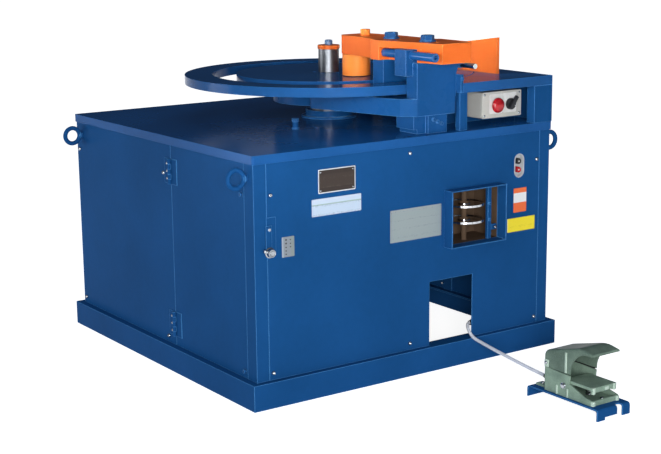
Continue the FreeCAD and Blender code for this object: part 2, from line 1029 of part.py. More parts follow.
def left_door():
    sheet = size.panel_sheet
    near = body_front + size.post_depth + size.seam
    far = size.hinge_seam - size.seam
    plate = box((body_left, body_left + sheet), (near, far), (panel_low + size.seam, panel_high - size.seam))
    leaves = [hinge_leaf(getattr(size, level), True) for level in HINGE_LEVELS]
    heads = [
        rod("X", (near + size.screw_edge, z), (body_left - size.screw_rise, body_left), size.screw_head)
        for z in (panel_high - size.screw_high, panel_low + size.screw_low)
    ]
    return fuse(plate, *leaves, *heads)


node("left_door", left_door())


def door_hinges():
    leaves = [hinge_leaf(getattr(size, level), False) for level in HINGE_LEVELS]
    pins = []
    for name in HINGE_LEVELS:
        level = getattr(size, name)
        half = size.hinge_height / 2
        pins.append(rod("Z", hinge_axis, (level - half, level + half), size.hinge_pin))
    return group(*leaves, *pins)


node("door_hinges", door_hinges())


# Lifting eyes on the four posts

def lifting_eye(x, outward, y):
    """A ring in the plane of X and Z on a collar that stands on a post."""
    z = table_underside - size.eye_below_table
    centre = x + size.eye_reach * outward
    ring = document.addObject("Part::Torus", "ring")
    ring.Placement = Placement(Vector(), AXIS_TURN["Y"] * Rotation(Vector(0, 0, 1), 90))
    bind(ring, "Radius1", size.eye_ring)
    bind(ring, "Radius2", size.eye_wire)
    place(ring, centre, y, z)
    collar_end = x + size.eye_wire * outward
    collar = (collar_end, x) if outward < 0 else (x, collar_end)
    neck_end = x + size.eye_neck_length * outward
    neck = (neck_end, x) if outward < 0 else (x, neck_end)
    return fuse(ring, rod("X", (y, z), collar, size.eye_collar), rod("X", (y, z), neck, size.eye_neck))


def lifting_eyes():
    ends = (size.eye_from_end, size.cabinet_depth - size.eye_from_end)
    left = [lifting_eye(body_left, -1, y) for y in ends]
    right = [lifting_eye(body_right, 1, y) for y in ends]
    return group(*left, *right)


node("lifting_eyes", lifting_eyes())


def panel_screws():
    front = [pan_screw("Y", centre, body_front, -1) for centre in front_screw_places()]
    left = [pan_screw("X", centre, body_left, -1) for centre in side_screw_places()]
    right = [pan_screw("X", centre, body_right, 1) for centre in side_screw_places()]
    return group(*front, *left, *right)


node("panel_screws", panel_screws())


# Lower table: a thick steel plate with a hole for the hub

def lower_table():
    corners = [(table_left, table_front), (table_right, table_front), (table_right, table_back),
               (table_left, table_back)]
    plate = slab("XY", corners, (table_underside, table_top))
    round_edges(plate, size.table_corner, upright)
    through = past((table_underside, table_top))
    return cut(plate, rod("Z", axis, through, size.hub_radius + size.soft_gap),
               rod("Z", (size.oil_x, size.oil_y), through, size.oil_radius))


node("lower_table", lower_table())


def oil_filler():
    place_xy = (size.oil_x, size.oil_y)
    top = table_top + size.oil_rise
    return fuse(
        rod("Z", place_xy, (table_underside, top), size.oil_radius),
        rod("Z", place_xy, (table_top, table_top + size.oil_foot_height), size.oil_foot),
        rod("Z", place_xy, (top - size.oil_cap_height, top), size.oil_cap),
    )


node("oil_filler", oil_filler())


# Hub housing in the table, with its foot ring on the table and its flange below it

def hub_housing():
    bore = size.bearing_radius
    low = table_underside - size.bearing_width * 2
    flange_under = table_underside - size.hub_flange_thickness
    lip = size.spindle_radius + size.hub_lip_clear
    foot_top = table_top + size.hub_foot_height
    top = table_top + size.hub_rise
    lip_under = top - size.hub_lip_thickness
    profile = [
        (bore, low), (size.hub_radius, low), (size.hub_radius, flange_under), (size.hub_flange, flange_under),
        (size.hub_flange, table_underside), (size.hub_radius, table_underside), (size.hub_radius, table_top),
        (size.hub_foot, table_top), (size.hub_foot, foot_top), (size.hub_radius, foot_top),
        (size.hub_radius, top), (lip, top), (lip, lip_under), (bore, lip_under),
    ]
    return turned(profile, *axis)


node("hub_housing", hub_housing(), *axis)


def spindle_bearings():
    inner = size.spindle_radius + size.running_fit
    upper_z = (table_underside - size.bearing_width, table_underside)
    upper = tube("Z", axis, upper_z, inner, size.bearing_radius)
    lower = tube("Z", axis, (cup_floor, cup_floor + size.bearing_width), inner, size.bearing_radius)
    return group(upper, lower)


node("spindle_bearings", spindle_bearings())


# Gear deck: a plate hung from the table on four stays, with a cup for the lower bearing

pinion_reach = size.gear_module * (size.gear_teeth + size.pinion_teeth) / 2
pinion_x, pinion_y = around(size.pinion_angle, pinion_reach)


def gear_deck():
    plate = box((size.deck_left, size.deck_right), (size.deck_near, size.deck_far), (deck_low, deck_top))
    stay = size.stay_size
    stays = [
        box((x, x + stay), (y, y + stay), (deck_top, table_underside))
        for x in (size.deck_left + size.post_wall, size.deck_right - stay)
        for y in (size.deck_near, size.deck_far - stay)
    ]
    cup = rod("Z", axis, (deck_top, cup_floor + size.bearing_width), size.bearing_radius + size.cup_wall)
    bore = rod("Z", axis, (cup_floor, table_top), size.bearing_radius)
    clear = rod("Z", axis, (deck_low - CUT_PAST, deck_top), size.spindle_radius)
    shaft = rod("Z", (pinion_x, pinion_y), past((deck_low, deck_top)), size.shaft_hole)
    return cut(fuse(plate, cup, *stays), bore, clear, shaft)


node("gear_deck", gear_deck())


# Geared motor, hung upright below the deck

def gearbox_case():
    half = size.gearbox_size / 2
    low = deck_low - size.gearbox_height
    corners = [(-half, -half), (half, -half), (half, half), (-half, half)]
    case = slab("XY", corners, (0, size.gearbox_height))
    round_edges(case, size.gearbox_corner, upright)
    place(case, pinion_x, pinion_y, low)
    reach = half - size.gearbox_bolt_inset
    head_z = (deck_top, deck_top + size.gearbox_bolt_height)
    bolts = [
        hexagon("Z", (pinion_x + x * reach, pinion_y + y * reach), head_z, size.gearbox_bolt)
        for x in (-1, 1) for y in (-1, 1)
    ]
    return group(case, *bolts)


node("gearbox_case", gearbox_case())


FIN_COUNT = 12


def drive_motor():
    top = deck_low - size.gearbox_height
    low = top - size.motor_height
    centre = (pinion_x, pinion_y)
    radius = size.motor_radius
    fins = [
        cooling_fin(FULL_TURN * index / FIN_COUNT, (low + size.fin_inset, top - size.fin_inset))
        for index in range(FIN_COUNT)
    ]
    cowl = rod("Z", centre, (low - size.cowl_height, low), radius - size.cowl_inset)
    box_left = pinion_x - radius - size.terminal_reach
    box_top = top - size.terminal_drop
    terminal = box((box_left, box_left + size.terminal_width),
                   (pinion_y - size.terminal_half, pinion_y + size.terminal_half),
                   (box_top - size.terminal_height, box_top))
    return fuse(rod("Z", centre, (low, top), radius - size.fin_height), cowl, terminal, *fins)


def cooling_fin(angle, span):
    """One cooling fin of the motor, standing out from its axis at an angle."""
    fin = document.addObject("Part::Box", "fin")
    bind(fin, "Length", size.motor_radius)
    bind(fin, "Width", size.panel_sheet)
    bind(fin, "Height", span[1] - span[0])
    fin.Placement = Placement(Vector(), Rotation(Vector(0, 0, 1), angle))
    return place(fin, pinion_x, pinion_y, span[0])


node("drive_motor", drive_motor())


# Gears: straight teeth from a formula, with play at the flanks

# Tooth depth in modules, and half thickness at root, pitch circle and tip in tooth pitches
ROOT_DEPTH = 1.2
TIP_HEIGHT = 0.8
ROOT_HALF = 0.30
PITCH_HALF = 0.20
TIP_HALF = 0.11


def gear_shape(teeth, module, width, bore, phase):
    """A spur gear about the Z axis; phase is the angle of the middle of one tooth."""
    pitch = module * teeth / 2
    pitch_angle = 2 * math.pi / teeth
    flank = [
        (pitch - ROOT_DEPTH * module, ROOT_HALF * pitch_angle),
        (pitch, PITCH_HALF * pitch_angle),
        (pitch + TIP_HEIGHT * module, TIP_HALF * pitch_angle),
    ]
    points = []
    for tooth in range(teeth):
        middle = math.radians(phase) + tooth * pitch_angle
        left_side = [(radius, middle - half) for radius, half in flank]
        right_side = [(radius, middle + half) for radius, half in reversed(flank)]
        for radius, angle in left_side + right_side:
            points.append(Vector(radius * math.cos(angle), radius * math.sin(angle), 0))
    blank = Part.Face(Part.makePolygon(points + points[:1])).extrude(Vector(0, 0, width))
    return blank.cut(Part.makeCylinder(bore, width + CUT_PAST * 2, Vector(0, 0, -CUT_PAST)))


def gear(label, teeth, bore, phase, shaft=None):
    """A gear whose shape stands on the level of its lower face."""
    piece = document.addObject("Part::Feature", label)
    shape = gear_shape(int(number(teeth)), number(size.gear_module), number(size.gear_width),
                       number(bore), phase)
    piece.Shape = shape if shaft is None else shape.fuse(shaft)
    return piece


def bull_gear():
    return gear("gear", size.gear_teeth, size.spindle_radius, number(size.pinion_angle))


node("bull_gear", bull_gear(), *axis, gear_low)


def pinion():
    """The pinion in one piece with its shaft, which comes up out of the gearbox."""
    below = number(gear_low - deck_low)
    shaft_length = below + number(size.gear_width + size.pinion_shaft_over)
    shaft = Part.makeCylinder(number(size.pinion_bore), shaft_length, Vector(0, 0, -below))
    half_turn = FULL_TURN / 2
    facing_gap = number(size.pinion_angle) + half_turn + half_turn / number(size.pinion_teeth)
    return gear("pinion", size.pinion_teeth, size.pinion_bore, facing_gap, shaft)


node("pinion", pinion(), pinion_x, pinion_y, gear_low)


def hollow_spindle():
    flange_under = beam_low - size.spindle_flange_thickness
    bore = size.spindle_bore
    radius = size.spindle_radius
    low = cup_floor + size.seam
    profile = [
        (bore, low), (radius, low), (radius, flange_under), (size.spindle_flange, flange_under),
        (size.spindle_flange, beam_low), (bore, beam_low),
    ]
    return turned(profile, *axis)


node("hollow_spindle", hollow_spindle(), *axis)


# Fixed post inside the spindle: foot flange under the deck, seat under the disc, and the centre pin

def centre_post():
    foot_low = deck_low - size.post_foot_thickness
    seat_low = disc_under - size.post_seat_thickness
    radius = size.post_radius
    seat = size.spindle_radius
    cap_low = work + size.centre_height
    cap_high = cap_low + size.centre_cap_height
    knob_high = cap_high + size.centre_knob_height
    pin = size.centre_pin
    profile = [
        (0, foot_low), (size.hub_foot, foot_low), (size.hub_foot, deck_low), (radius, deck_low),
        (radius, seat_low), (seat, seat_low), (seat, disc_under), (pin, disc_under),
        (pin, cap_low), (size.centre_cap, cap_low), (size.centre_cap, cap_high),
        (size.centre_knob, cap_high), (size.centre_knob, knob_high), (0, knob_high),
    ]
    return turned(profile, *axis)


node("centre_post", centre_post(), *axis)


DISC_HOLE_COUNT = 6


def inner_disc():
    """The fixed disc with blind holes for pins, set half a step from the machine's sides."""
    disc = tube("Z", axis, (disc_under, work), size.centre_pin, disc_radius)
    hole_z = (work - size.disc_hole_depth, work + CUT_PAST)
    step = FULL_TURN / DISC_HOLE_COUNT
    holes = [
        rod("Z", around(step * (index + 0.5), size.disc_hole_circle), hole_z, size.disc_hole)
        for index in range(DISC_HOLE_COUNT)
    ]
    return cut(disc, *holes)


node("inner_disc", inner_disc())


def centre_roller():
    low = work + size.soft_gap
    high = work + size.centre_height - size.soft_gap
    return tube("Z", axis, (low, high), size.centre_pin + size.running_fit, size.centre_roller)


node("centre_roller", centre_roller())


# Support ring, carried at the right side on round brackets

node("support_ring", tube("Z", axis, (disc_under, work), ring_inner, size.ring_outer))


def ring_brackets():
    parts = []
    for step in (-1, 0, 1):
        centre = around(size.bracket_angle * step, bracket_circle)
        parts.append(fuse(
            rod("Z", centre, (table_top, disc_under), size.bracket_radius),
            rod("Z", centre, (table_top, table_top + size.bracket_foot_height), size.bracket_foot),
        ))
    return group(*parts)


node("ring_brackets", ring_brackets())


# Raised table at the right

def upper_table_frame():
    sheet = size.frame_sheet
    z = (table_top, plate_under)
    left_post = box((size.post_left, size.post_left + size.front_post_width),
                    (size.post_front, size.post_front + size.front_post_depth), z)
    jamb = box((size.recess_right, upper_right), (size.upper_front, size.upper_front + size.jamb_depth), z)
    right_wall = box((upper_right - sheet, upper_right), (size.upper_front, size.frame_back), z)
    back_wall = box((size.post_left + size.front_post_width, upper_right),
                    (size.recess_back, size.recess_back + sheet), z)
    return group(left_post, fuse(jamb, right_wall, back_wall))


node("upper_table_frame", upper_table_frame())


def upper_table_plate():
    corners = [(size.upper_left, size.upper_front), (upper_right, size.upper_front),
               (upper_right, size.upper_plate_back), (size.upper_left, size.upper_plate_back)]
    plate = slab("XY", corners, (plate_under, work))
    ring_hole = rod("Z", axis, past((plate_under, work)), size.ring_outer + size.ring_gap)
    return cut(plate, ring_hole)


node("upper_table_plate", upper_table_plate())


def home_stop():
    right = size.upper_left
    front = size.upper_front + size.home_stop_set_back
    block = box((right - size.home_stop_width, right), (front, front + size.home_stop_depth),
                (plate_under, work + size.home_stop_rise))
    bolt_centre = (right - size.home_stop_width / 2, work + size.home_stop_rise / 2)
    head = rod("Y", bolt_centre, (front - size.home_stop_bolt, front), size.home_stop_bolt)
    return fuse(block, head)


node("home_stop", home_stop())


def reaction_plate():
    front = size.reaction_front
    back = size.reaction_back
    low_top = work + size.reaction_low
    corners = [(front, work), (back, work), (back, low_top), (size.reaction_slope, low_top),
               (front, work + size.reaction_high)]
    x = (size.reaction_x, size.reaction_x + size.reaction_thickness)
    plate = slab("YZ", corners, x)
    face = box(inset(x, -size.reaction_face_side), (back - size.reaction_face_depth, back),
               (work, work + size.reaction_face_height))
    return fuse(plate, face)


node("reaction_plate", reaction_plate())


# Control box in the recess, with its two operators

def control_box():
    corners = [(size.control_left, size.control_low), (size.control_right, size.control_low),
               (size.control_right, size.control_high), (size.control_left, size.control_high)]
    case = slab("XZ", corners, (size.control_front, size.recess_back))
    round_edges(case, size.control_corner, lengthwise)
    depth = size.switch_stem_length + size.stop_travel + size.switch_well_spare
    well_y = (size.control_front - CUT_PAST, size.control_front + depth)
    wells = [
        rod("Y", (x, size.switch_z), well_y, size.switch_well)
        for x in (size.stop_x, size.selector_x)
    ]
    return cut(case, *wells)


node("control_box", control_box())

legend_front = size.control_front - size.plate_sheet


def stop_button():
    centre = (size.stop_x, size.switch_z)
    face = legend_front - size.stop_travel - size.seam
    rim = face - size.stop_rim
    dome_front = rim - size.stop_dome
    dome = cone("Y", centre, (dome_front, rim), (size.stop_dome_front, size.stop_radius))
    return fuse(dome, rod("Y", centre, (rim, face), size.stop_radius),
                rod("Y", centre, (face, size.control_front + size.switch_stem_length), size.switch_stem))


node("stop_button", stop_button())


def selector_knob():
    x, z = size.selector_x, size.switch_z
    face = legend_front - size.soft_gap
    front = face - size.selector_depth
    knob = rod("Y", (x, z), (front, face), size.selector_radius)
    stem = rod("Y", (x, z), (face, size.control_front + size.switch_stem_length), size.switch_stem)
    grip = document.addObject("Part::Box", "grip")
    bind(grip, "Length", size.grip_width)
    bind(grip, "Width", size.grip_depth)
    bind(grip, "Height", size.grip_length)
    grip.Placement = Placement(Vector(), Rotation(Vector(0, 1, 0), number(size.grip_tilt)))
    half = size.grip_width / 2
    tail = size.grip_tail
    place(grip, x - cosine(size.grip_tilt, half) - sine(size.grip_tilt, tail), front - size.grip_proud,
          z + sine(size.grip_tilt, half) - cosine(size.grip_tilt, tail))
    return fuse(knob, stem, grip)


node("selector_knob", selector_knob())


# Plates: name plate, label plates on the front, and legend plates on the control box
LABELS = ("white_label", "grey_label", "latch_label", "orange_label", "yellow_label")


def front_plate(name):
    """A thin plate on the front panel, placed by the four sizes that begin with its name."""
    left, low, width, height = [
        getattr(size, f"{name}_{part}") for part in ("left", "low", "width", "height")
    ]
    return box((left, left + width), (body_front - size.plate_sheet, body_front), (low, low + height))


def label_plates():
    labels = [front_plate(name) for name in LABELS]
    name_plate = front_plate("name_plate")
    edge = size.rivet_inset
    plate_front = body_front - size.plate_sheet
    rivets = [
        rod("Y", (size.name_plate_left + x, size.name_plate_low + z),
            (plate_front - size.rivet_rise, plate_front), size.rivet_radius)
        for x in (edge, size.name_plate_width - edge) for z in (edge, size.name_plate_height - edge)
    ]
    legend_z = (size.switch_z - size.legend_below, size.switch_z + size.legend_above)
    legend_y = (legend_front, size.control_front)
    legends = [
        cut(box((x - size.legend_half, x + size.legend_half), legend_y, legend_z),
            rod("Y", (x, size.switch_z), past(legend_y), size.switch_well))
        for x in (size.stop_x, size.selector_x)
    ]
    return group(*labels, fuse(name_plate, *rivets), *legends)


node("label_plates", label_plates())


# Button station: a raised bezel round a recess with two buttons

def button_station():
    front = body_front - size.station_bezel
    back = body_front + size.station_depth
    bezel = station_cut(0, (front, body_front))
    body = station_cut(-size.station_bezel, (front, back))
    recess = station_cut(-size.station_bezel * 2, (front - CUT_PAST, body_front + size.station_recess))
    wells = [
        rod("Y", (size.station_x, z), (front, back - size.station_back), size.power_button + size.soft_gap)
        for z in button_levels()
    ]
    return cut(fuse(bezel, body), recess, *wells)


def button_levels():
    return (size.station_z + size.button_pitch / 2, size.station_z - size.button_pitch / 2)


node("button_station", button_station())


def power_button(z):
    face = body_front + size.station_recess - size.button_rise
    back = body_front + size.station_depth - size.station_back - size.button_travel - size.soft_gap
    return group(rod("Y", (size.station_x, z), (face, back), size.power_button))


node("start_button", power_button(button_levels()[0]))
node("power_off_button", power_button(button_levels()[1]))


# Guard box: a window frame that stands out round the angle dials

guard_x = (size.guard_left, size.guard_right)
guard_z = (size.guard_low, size.guard_high)
guard_front = body_front - size.guard_depth


def guard_box():
    frame = box(guard_x, (guard_front, body_front), guard_z)
    wall = size.guard_wall
    inside = box(inset(guard_x, wall), past((guard_front, body_front)), inset(guard_z, wall))
    return cut(frame, inside)


node("guard_box", guard_box())

housing_back = body_front + size.housing_depth
upper_dial = size.dial_low + size.dial_spacing
DIAL_LEVELS = (size.dial_low, upper_dial)


def dial_housing():
    sheet = size.panel_sheet
    front = body_front + sheet
    shell = box(guard_x, (front, housing_back), guard_z)
    inside = box(inset(guard_x, sheet), (front - CUT_PAST, housing_back - sheet), inset(guard_z, sheet))
    centre = (size.dial_x, size.dial_y)
    spindle = rod("Z", centre, inset(guard_z, sheet), size.dial_spindle)
    gap = size.soft_gap
    rim = size.dial_rim
    reach = size.collar_height
    collars = [rod("Z", centre, (z + rim + gap, z + rim + reach), size.collar_radius) for z in DIAL_LEVELS]
    rests = [rod("Z", centre, (z - reach, z - gap), size.collar_radius) for z in DIAL_LEVELS]
    return fuse(cut(shell, inside), spindle, *collars, *rests)


node("dial_housing", dial_housing())


def angle_dial(level):
    """A dial with a raised rim, turning on the dial spindle."""
    rim = size.dial_rim
    bore = size.dial_spindle + size.running_fit
    rim_inner = size.dial_radius - size.dial_rim_width
    floor = rim - size.dial_face_drop
    profile = [
        (bore, 0), (size.dial_radius, 0), (size.dial_radius, rim), (rim_inner, rim), (rim_inner, floor),
        (size.dial_boss, floor), (size.dial_boss, rim), (bore, rim),
    ]
    return turned(profile, size.dial_x, size.dial_y, level)


node("angle_dial_lower", angle_dial(size.dial_low), size.dial_x, size.dial_y, size.dial_low)
node("angle_dial_upper", angle_dial(upper_dial), size.dial_x, size.dial_y, upper_dial)


def dial_pointers():
    """Two pointer blocks at the left and an upright bar at the right, with its screws."""
    left = size.guard_left + size.panel_sheet
    gap = size.dial_radius + size.soft_gap
    panel_back = body_front + size.panel_sheet
    blocks = []
    for level in DIAL_LEVELS:
        z = (level - size.pointer_below, level - size.pointer_below + size.pointer_height)
        block = box((left, left + size.pointer_length), (panel_back, panel_back + size.pointer_depth), z)
        blocks.append(cut(block, rod("Z", (size.dial_x, size.dial_y), past(z), gap)))
    bar_x = (size.dial_bar_left, size.dial_bar_left + size.dial_bar_width)
    bar_front = body_front - size.dial_bar_proud
    bar = box(bar_x, (bar_front, panel_back + size.dial_bar_behind), inset(guard_z, size.guard_wall))
    middle = size.dial_bar_left + size.dial_bar_width / 2
    heads = [
        rod("Y", (middle, z), (bar_front - size.bar_screw_rise, bar_front), size.bar_screw)
        for z in DIAL_LEVELS
    ]
    return group(*blocks, fuse(bar, *heads))


node("dial_pointers", dial_pointers())


# Latch: a patch plate with a stud and a pivot, a strap that swings on the pivot, and a knob on the stud

patch_front = body_front - size.latch_sheet
strap_front = patch_front - size.soft_gap - size.strap_sheet


def latch_plate():
    patch = box((size.latch_left, size.latch_left + size.latch_patch), (patch_front, body_front),
                (size.latch_low, size.latch_high))
    pivot_centre = (size.strap_x, size.strap_pivot)
    head_back = strap_front - size.soft_gap
    pivot = rod("Y", pivot_centre, (head_back, patch_front), size.stud_radius)
    head = rod("Y", pivot_centre, (head_back - size.pivot_head_height, head_back), size.pivot_head)
    stud_y = (strap_front - size.stud_length, patch_front)
    stud = rod("Y", (size.strap_x, size.strap_stud), stud_y, size.stud_radius)
    return fuse(patch, pivot, head, stud)


node("latch_plate", latch_plate())


def latch_strap():
    """A strap that hangs on its pivot; an open notch in its side takes the stud."""
    half = size.strap_width / 2
    y = (strap_front, strap_front + size.strap_sheet)
    plate = box((size.strap_x - half, size.strap_x + half), y,
                (size.strap_stud - size.strap_past, size.strap_pivot + size.strap_past))
    pivot = rod("Y", (size.strap_x, size.strap_pivot), past(y), size.stud_radius + size.running_fit)
    notch_half = size.stud_radius + size.stud_play
    notch = box((size.strap_x - size.stud_radius - size.seam, size.strap_x + half + CUT_PAST), past(y),
                (size.strap_stud - notch_half, size.strap_stud + notch_half))
    return cut(plate, pivot, notch)


node("latch_strap", latch_strap())


def latch_knob():
    back = strap_front - size.soft_gap
    y = (back - size.latch_knob_depth, back)
    centre = (size.strap_x, size.strap_stud)
    wing_tip = size.strap_x - size.latch_knob_radius - size.wing_reach
    wing = box((wing_tip, size.strap_x), inset(y, size.wing_inset),
               (size.strap_stud - size.wing_half, size.strap_stud + size.wing_half))
    bore = rod("Y", centre, (strap_front - size.stud_length - CUT_PAST, back + CUT_PAST),
               size.stud_radius + size.running_fit)
    return cut(fuse(rod("Y", centre, y, size.latch_knob_radius), wing), bore)


node("latch_knob", latch_knob())


# Swing arm: a beam under the ring from the turntable to an outer column, an inner post in the gap
# between disc and ring, and a saddle on both that carries the roller arm

def polar(dx, dy):
    """A place given from the bending axis."""
    return axis_x + dx, size.axis_y + dy


column_x = (axis_x - size.column_left, axis_x + size.column_right)
column_y = (arm_front, arm_front + size.column_depth)
post_x = (axis_x - size.inner_post_left, axis_x + size.inner_post_right)
post_y = (inner_post_front, inner_post_front + size.inner_post_depth)
saddle = size.saddle_height
jaw_x = (axis_x - size.jaw_left, axis_x - size.jaw_left + size.jaw_width)
jaw_y = (arm_front + size.jaw_front, arm_front + size.jaw_front + size.jaw_depth)
arm_low = saddle + size.soft_gap
arm_high = arm_low + size.head_height
flange_low = arm_high - size.head_flange
adjuster_z = flange_low - size.adjuster_below_flange


def swing_arm():
    corner = size.beam_corner
    outline_corners = [
        polar(-size.column_left, -arm_reach),
        polar(size.column_right, -arm_reach),
        polar(size.beam_root_half, -size.beam_root_reach),
        polar(-size.beam_root_half, -size.beam_root_reach),
        polar(-size.beam_waist_left, size.beam_waist_back - arm_reach),
        polar(-size.column_left - corner, corner - arm_reach),
    ]
    beam = slab("XY", outline_corners, (beam_low, beam_high))
    round_edges(beam, size.beam_edge, upright)
    turntable = rod("Z", axis, (beam_low, beam_high), size.turntable_radius)
    column = box(column_x, column_y, (beam_high, saddle))
    post_block = box(post_x, post_y, (beam_high, saddle))
    jaw = box(jaw_x, jaw_y, (size.jaw_low, flange_low - size.soft_gap))
    flare_x = (column_x[1], column_x[1] + size.flare_width)
    flare_low = saddle - size.flare_height
    hollow_centre = (flare_x[1] + size.flare_hollow_right, flare_low - size.flare_hollow_drop)
    flare = cut(
        box(flare_x, column_y, (flare_low, saddle)),
        rod("Y", hollow_centre, past(column_y), size.flare_hollow),
    )
    boss_y = (column_y[0] + size.rod_boss_set_back, column_y[1])
    boss = rod("Y", (size.rod_x, size.rod_z), boss_y, size.rod_boss)
    rod_bore = rod("Y", (size.rod_x, size.rod_z), past(column_y), size.rod_radius + size.running_fit)
    adjuster_fit = size.adjuster_radius + size.running_fit
    adjuster_bore = rod("Y", (size.adjuster_x, adjuster_z), past(jaw_y), adjuster_fit)
    hub = rod("Z", axis, past((beam_low, beam_high)), size.spindle_bore)
    bolt_holes = [
        rod("Z", centre, (saddle - size.bolt_grip, saddle + CUT_PAST), size.bolt_radius)
        for centre in clamp_places()
    ]
    whole = fuse(beam, turntable, column, post_block, jaw, flare, boss)
    return cut(whole, rod_bore, adjuster_bore, hub, *bolt_holes)


def clamp_places():
    return ((size.clamp_x, arm_front + size.clamp_near),
            (size.clamp_x - size.clamp_far_shift, inner_post_front + size.clamp_far))


node("swing_arm", swing_arm())


SHOE_SCREW_COUNT = 3


def slide_shoe():
    """The wear shoe bolted under the outer end of the beam; it slides over the table."""
    front = arm_front + size.shoe_set_back
    face_back = front + size.shoe_face
    low = table_top + size.soft_gap
    step = table_top + size.shoe_step
    right = axis_x + size.shoe_right
    plate = box((axis_x, right), (front, face_back), (low, beam_low))
    body_y = (face_back, front + size.shoe_depth)
    body = box((axis_x - size.shoe_left, right), body_y, (step, beam_low))
    pad = box((axis_x - size.shoe_pad_left, right), body_y, (low, step))
    heads = [
        rod("Y", (axis_x + size.shoe_screw_left + size.shoe_screw_pitch * index,
                  table_top + size.shoe_screw_high - size.shoe_screw_fall * index),
            (front - size.shoe_screw, front), size.shoe_screw)
        for index in range(SHOE_SCREW_COUNT)
    ]
    return fuse(plate, body, pad, *heads)


node("slide_shoe", slide_shoe())


def clamp_bolts():
    parts = []
    for centre in clamp_places():
        washer_low = arm_high + size.soft_gap
        head_low = washer_low + size.washer_thickness
        parts.append(fuse(
            rod("Z", centre, (saddle - size.bolt_grip, head_low), size.bolt_radius),
            rod("Z", centre, (washer_low, head_low), size.washer_radius),
            hexagon("Z", centre, (head_low, head_low + size.bolt_head_height), size.bolt_head),
        ))
    return group(*parts)


node("clamp_bolts", clamp_bolts())


def locking_rod():
    centre = (size.rod_x, size.rod_z)
    front = arm_front - size.rod_out
    return fuse(rod("Y", centre, (front, column_y[1] + size.rod_in - size.rod_out), size.rod_radius),
                rod("Y", centre, (front, front + size.rod_tip), size.rod_tip_radius))


node("locking_rod", locking_rod())


# Roller arm: a thick orange arm, slotted for the clamp bolts, with a lug that the adjusting screw pushes

arm_near = arm_front - size.arm_overhang
arm_far = size.roller_y + size.arm_past_roller
lug_near = inner_post_front - size.lug_before_post
axle_high = arm_high - size.axle_cover


def roller_arm():
    left = size.arm_left
    right = size.arm_right
    lug_far = lug_near + size.lug_length
    left_shoulder = arm_near + size.arm_left_shoulder
    body_corners = [
        (left + size.arm_nose_left, arm_near), (right - size.arm_nose_right, arm_near),
        (right, arm_near + size.arm_shoulder), (right, arm_far - size.arm_taper),
        (right - size.arm_taper_right, arm_far), (left + size.arm_taper_left, arm_far),
        (left - size.arm_belly, lug_far), (size.lug_left, lug_far), (size.lug_left, lug_near),
        (left, lug_near), (left, left_shoulder),
    ]
    body = slab("XY", body_corners, (arm_low, arm_high))
    round_edges(body, size.arm_end_round,
                lambda edge: upright(edge) and edge.CenterOfMass.y > number(arm_far) - CUT_PAST)
    web = left + size.arm_web
    flange_corners = [(size.lug_left, lug_near), (left, left_shoulder), (web, left_shoulder), (web, lug_near)]
    flange = slab("XY", flange_corners, (flange_low, arm_high))
    through = past((arm_low, arm_high))
    slots = []
    for x, y in clamp_places():
        half = size.bolt_radius + size.bolt_slot_play
        slots.append(box((x - half, x + half), (y - size.arm_travel, y), through))
        slots.append(rod("Z", (x, y - size.arm_travel), through, half))
        slots.append(rod("Z", (x, y), through, half))
    axle_hole = rod("Z", (size.roller_x, size.roller_y), (arm_low - CUT_PAST, axle_high), size.roller_axle)
    pin_hole = rod("Z", (size.lock_pin_x, size.lock_pin_y),
                   (arm_high - size.lock_pin_depth - CUT_PAST, arm_high + CUT_PAST),
                   size.lock_pin_radius + size.running_fit)
    return cut(fuse(body, flange), axle_hole, pin_hole, *slots)


node("roller_arm", roller_arm())


def adjusting_screw():
    centre = (size.adjuster_x, adjuster_z)
    near = arm_front - size.adjuster_out
    screw = rod("Y", centre, (near, lug_near - size.soft_gap), size.adjuster_radius)
    socket = hexagon("Y", centre, (near - CUT_PAST, near + size.adjuster_socket_depth), size.adjuster_socket)
    return cut(screw, socket)


node("adjusting_screw", adjusting_screw())

roller_low = work + size.roller_clear
roller_step = roller_low + size.roller_flange_height
roller_high = arm_low - size.soft_gap


def bending_roller():
    bore = size.roller_axle + size.running_fit
    recess = size.roller_flange + size.roller_flange_clear
    profile = [
        (recess, roller_low), (size.roller_radius, roller_low), (size.roller_radius, roller_high),
        (bore, roller_high), (bore, roller_step), (recess, roller_step),
    ]
    return turned(profile, size.roller_x, size.roller_y)


node("bending_roller", bending_roller(), size.roller_x, size.roller_y)


def roller_axle():
    centre = (size.roller_x, size.roller_y)
    low = roller_low + size.soft_gap
    return fuse(rod("Z", centre, (low, axle_high), size.roller_axle),
                rod("Z", centre, (low, roller_step - size.soft_gap), size.roller_flange))


node("roller_axle", roller_axle())


def head_lock_pin():
    centre = (size.lock_pin_x, size.lock_pin_y)
    low = arm_high + size.soft_gap
    return fuse(rod("Z", centre, (low, low + size.lock_pin_rise), size.lock_pin_knob),
                rod("Z", centre, (arm_high - size.lock_pin_depth, low), size.lock_pin_radius))


node("head_lock_pin", head_lock_pin())


# Route of the foot switch cord: from its gland behind the front panel, out through the square opening,
# over the plinth and down to the gland of the foot switch; straight runs joined by arcs.
# X is from the middle of the foot switch, Y and Z from the near bottom edge of the plinth.
CORD_POINTS = (
    (50, 38, 110),
    (37, 38, 110),
    (27, 32, 109),
    (19, 22, 104),
    (13, 8, 94),
    (13, -10, 80),
    (15, -38, 73.5),
    (12.5, -95, 67.2),
    (9.3, -158, 61),
    (5.8, -226, 55.1),
    (2.3, -296, 49.9),
    (0, -361, 46),
)


# Electrical box on the rear panel, with the gland of the foot switch cord

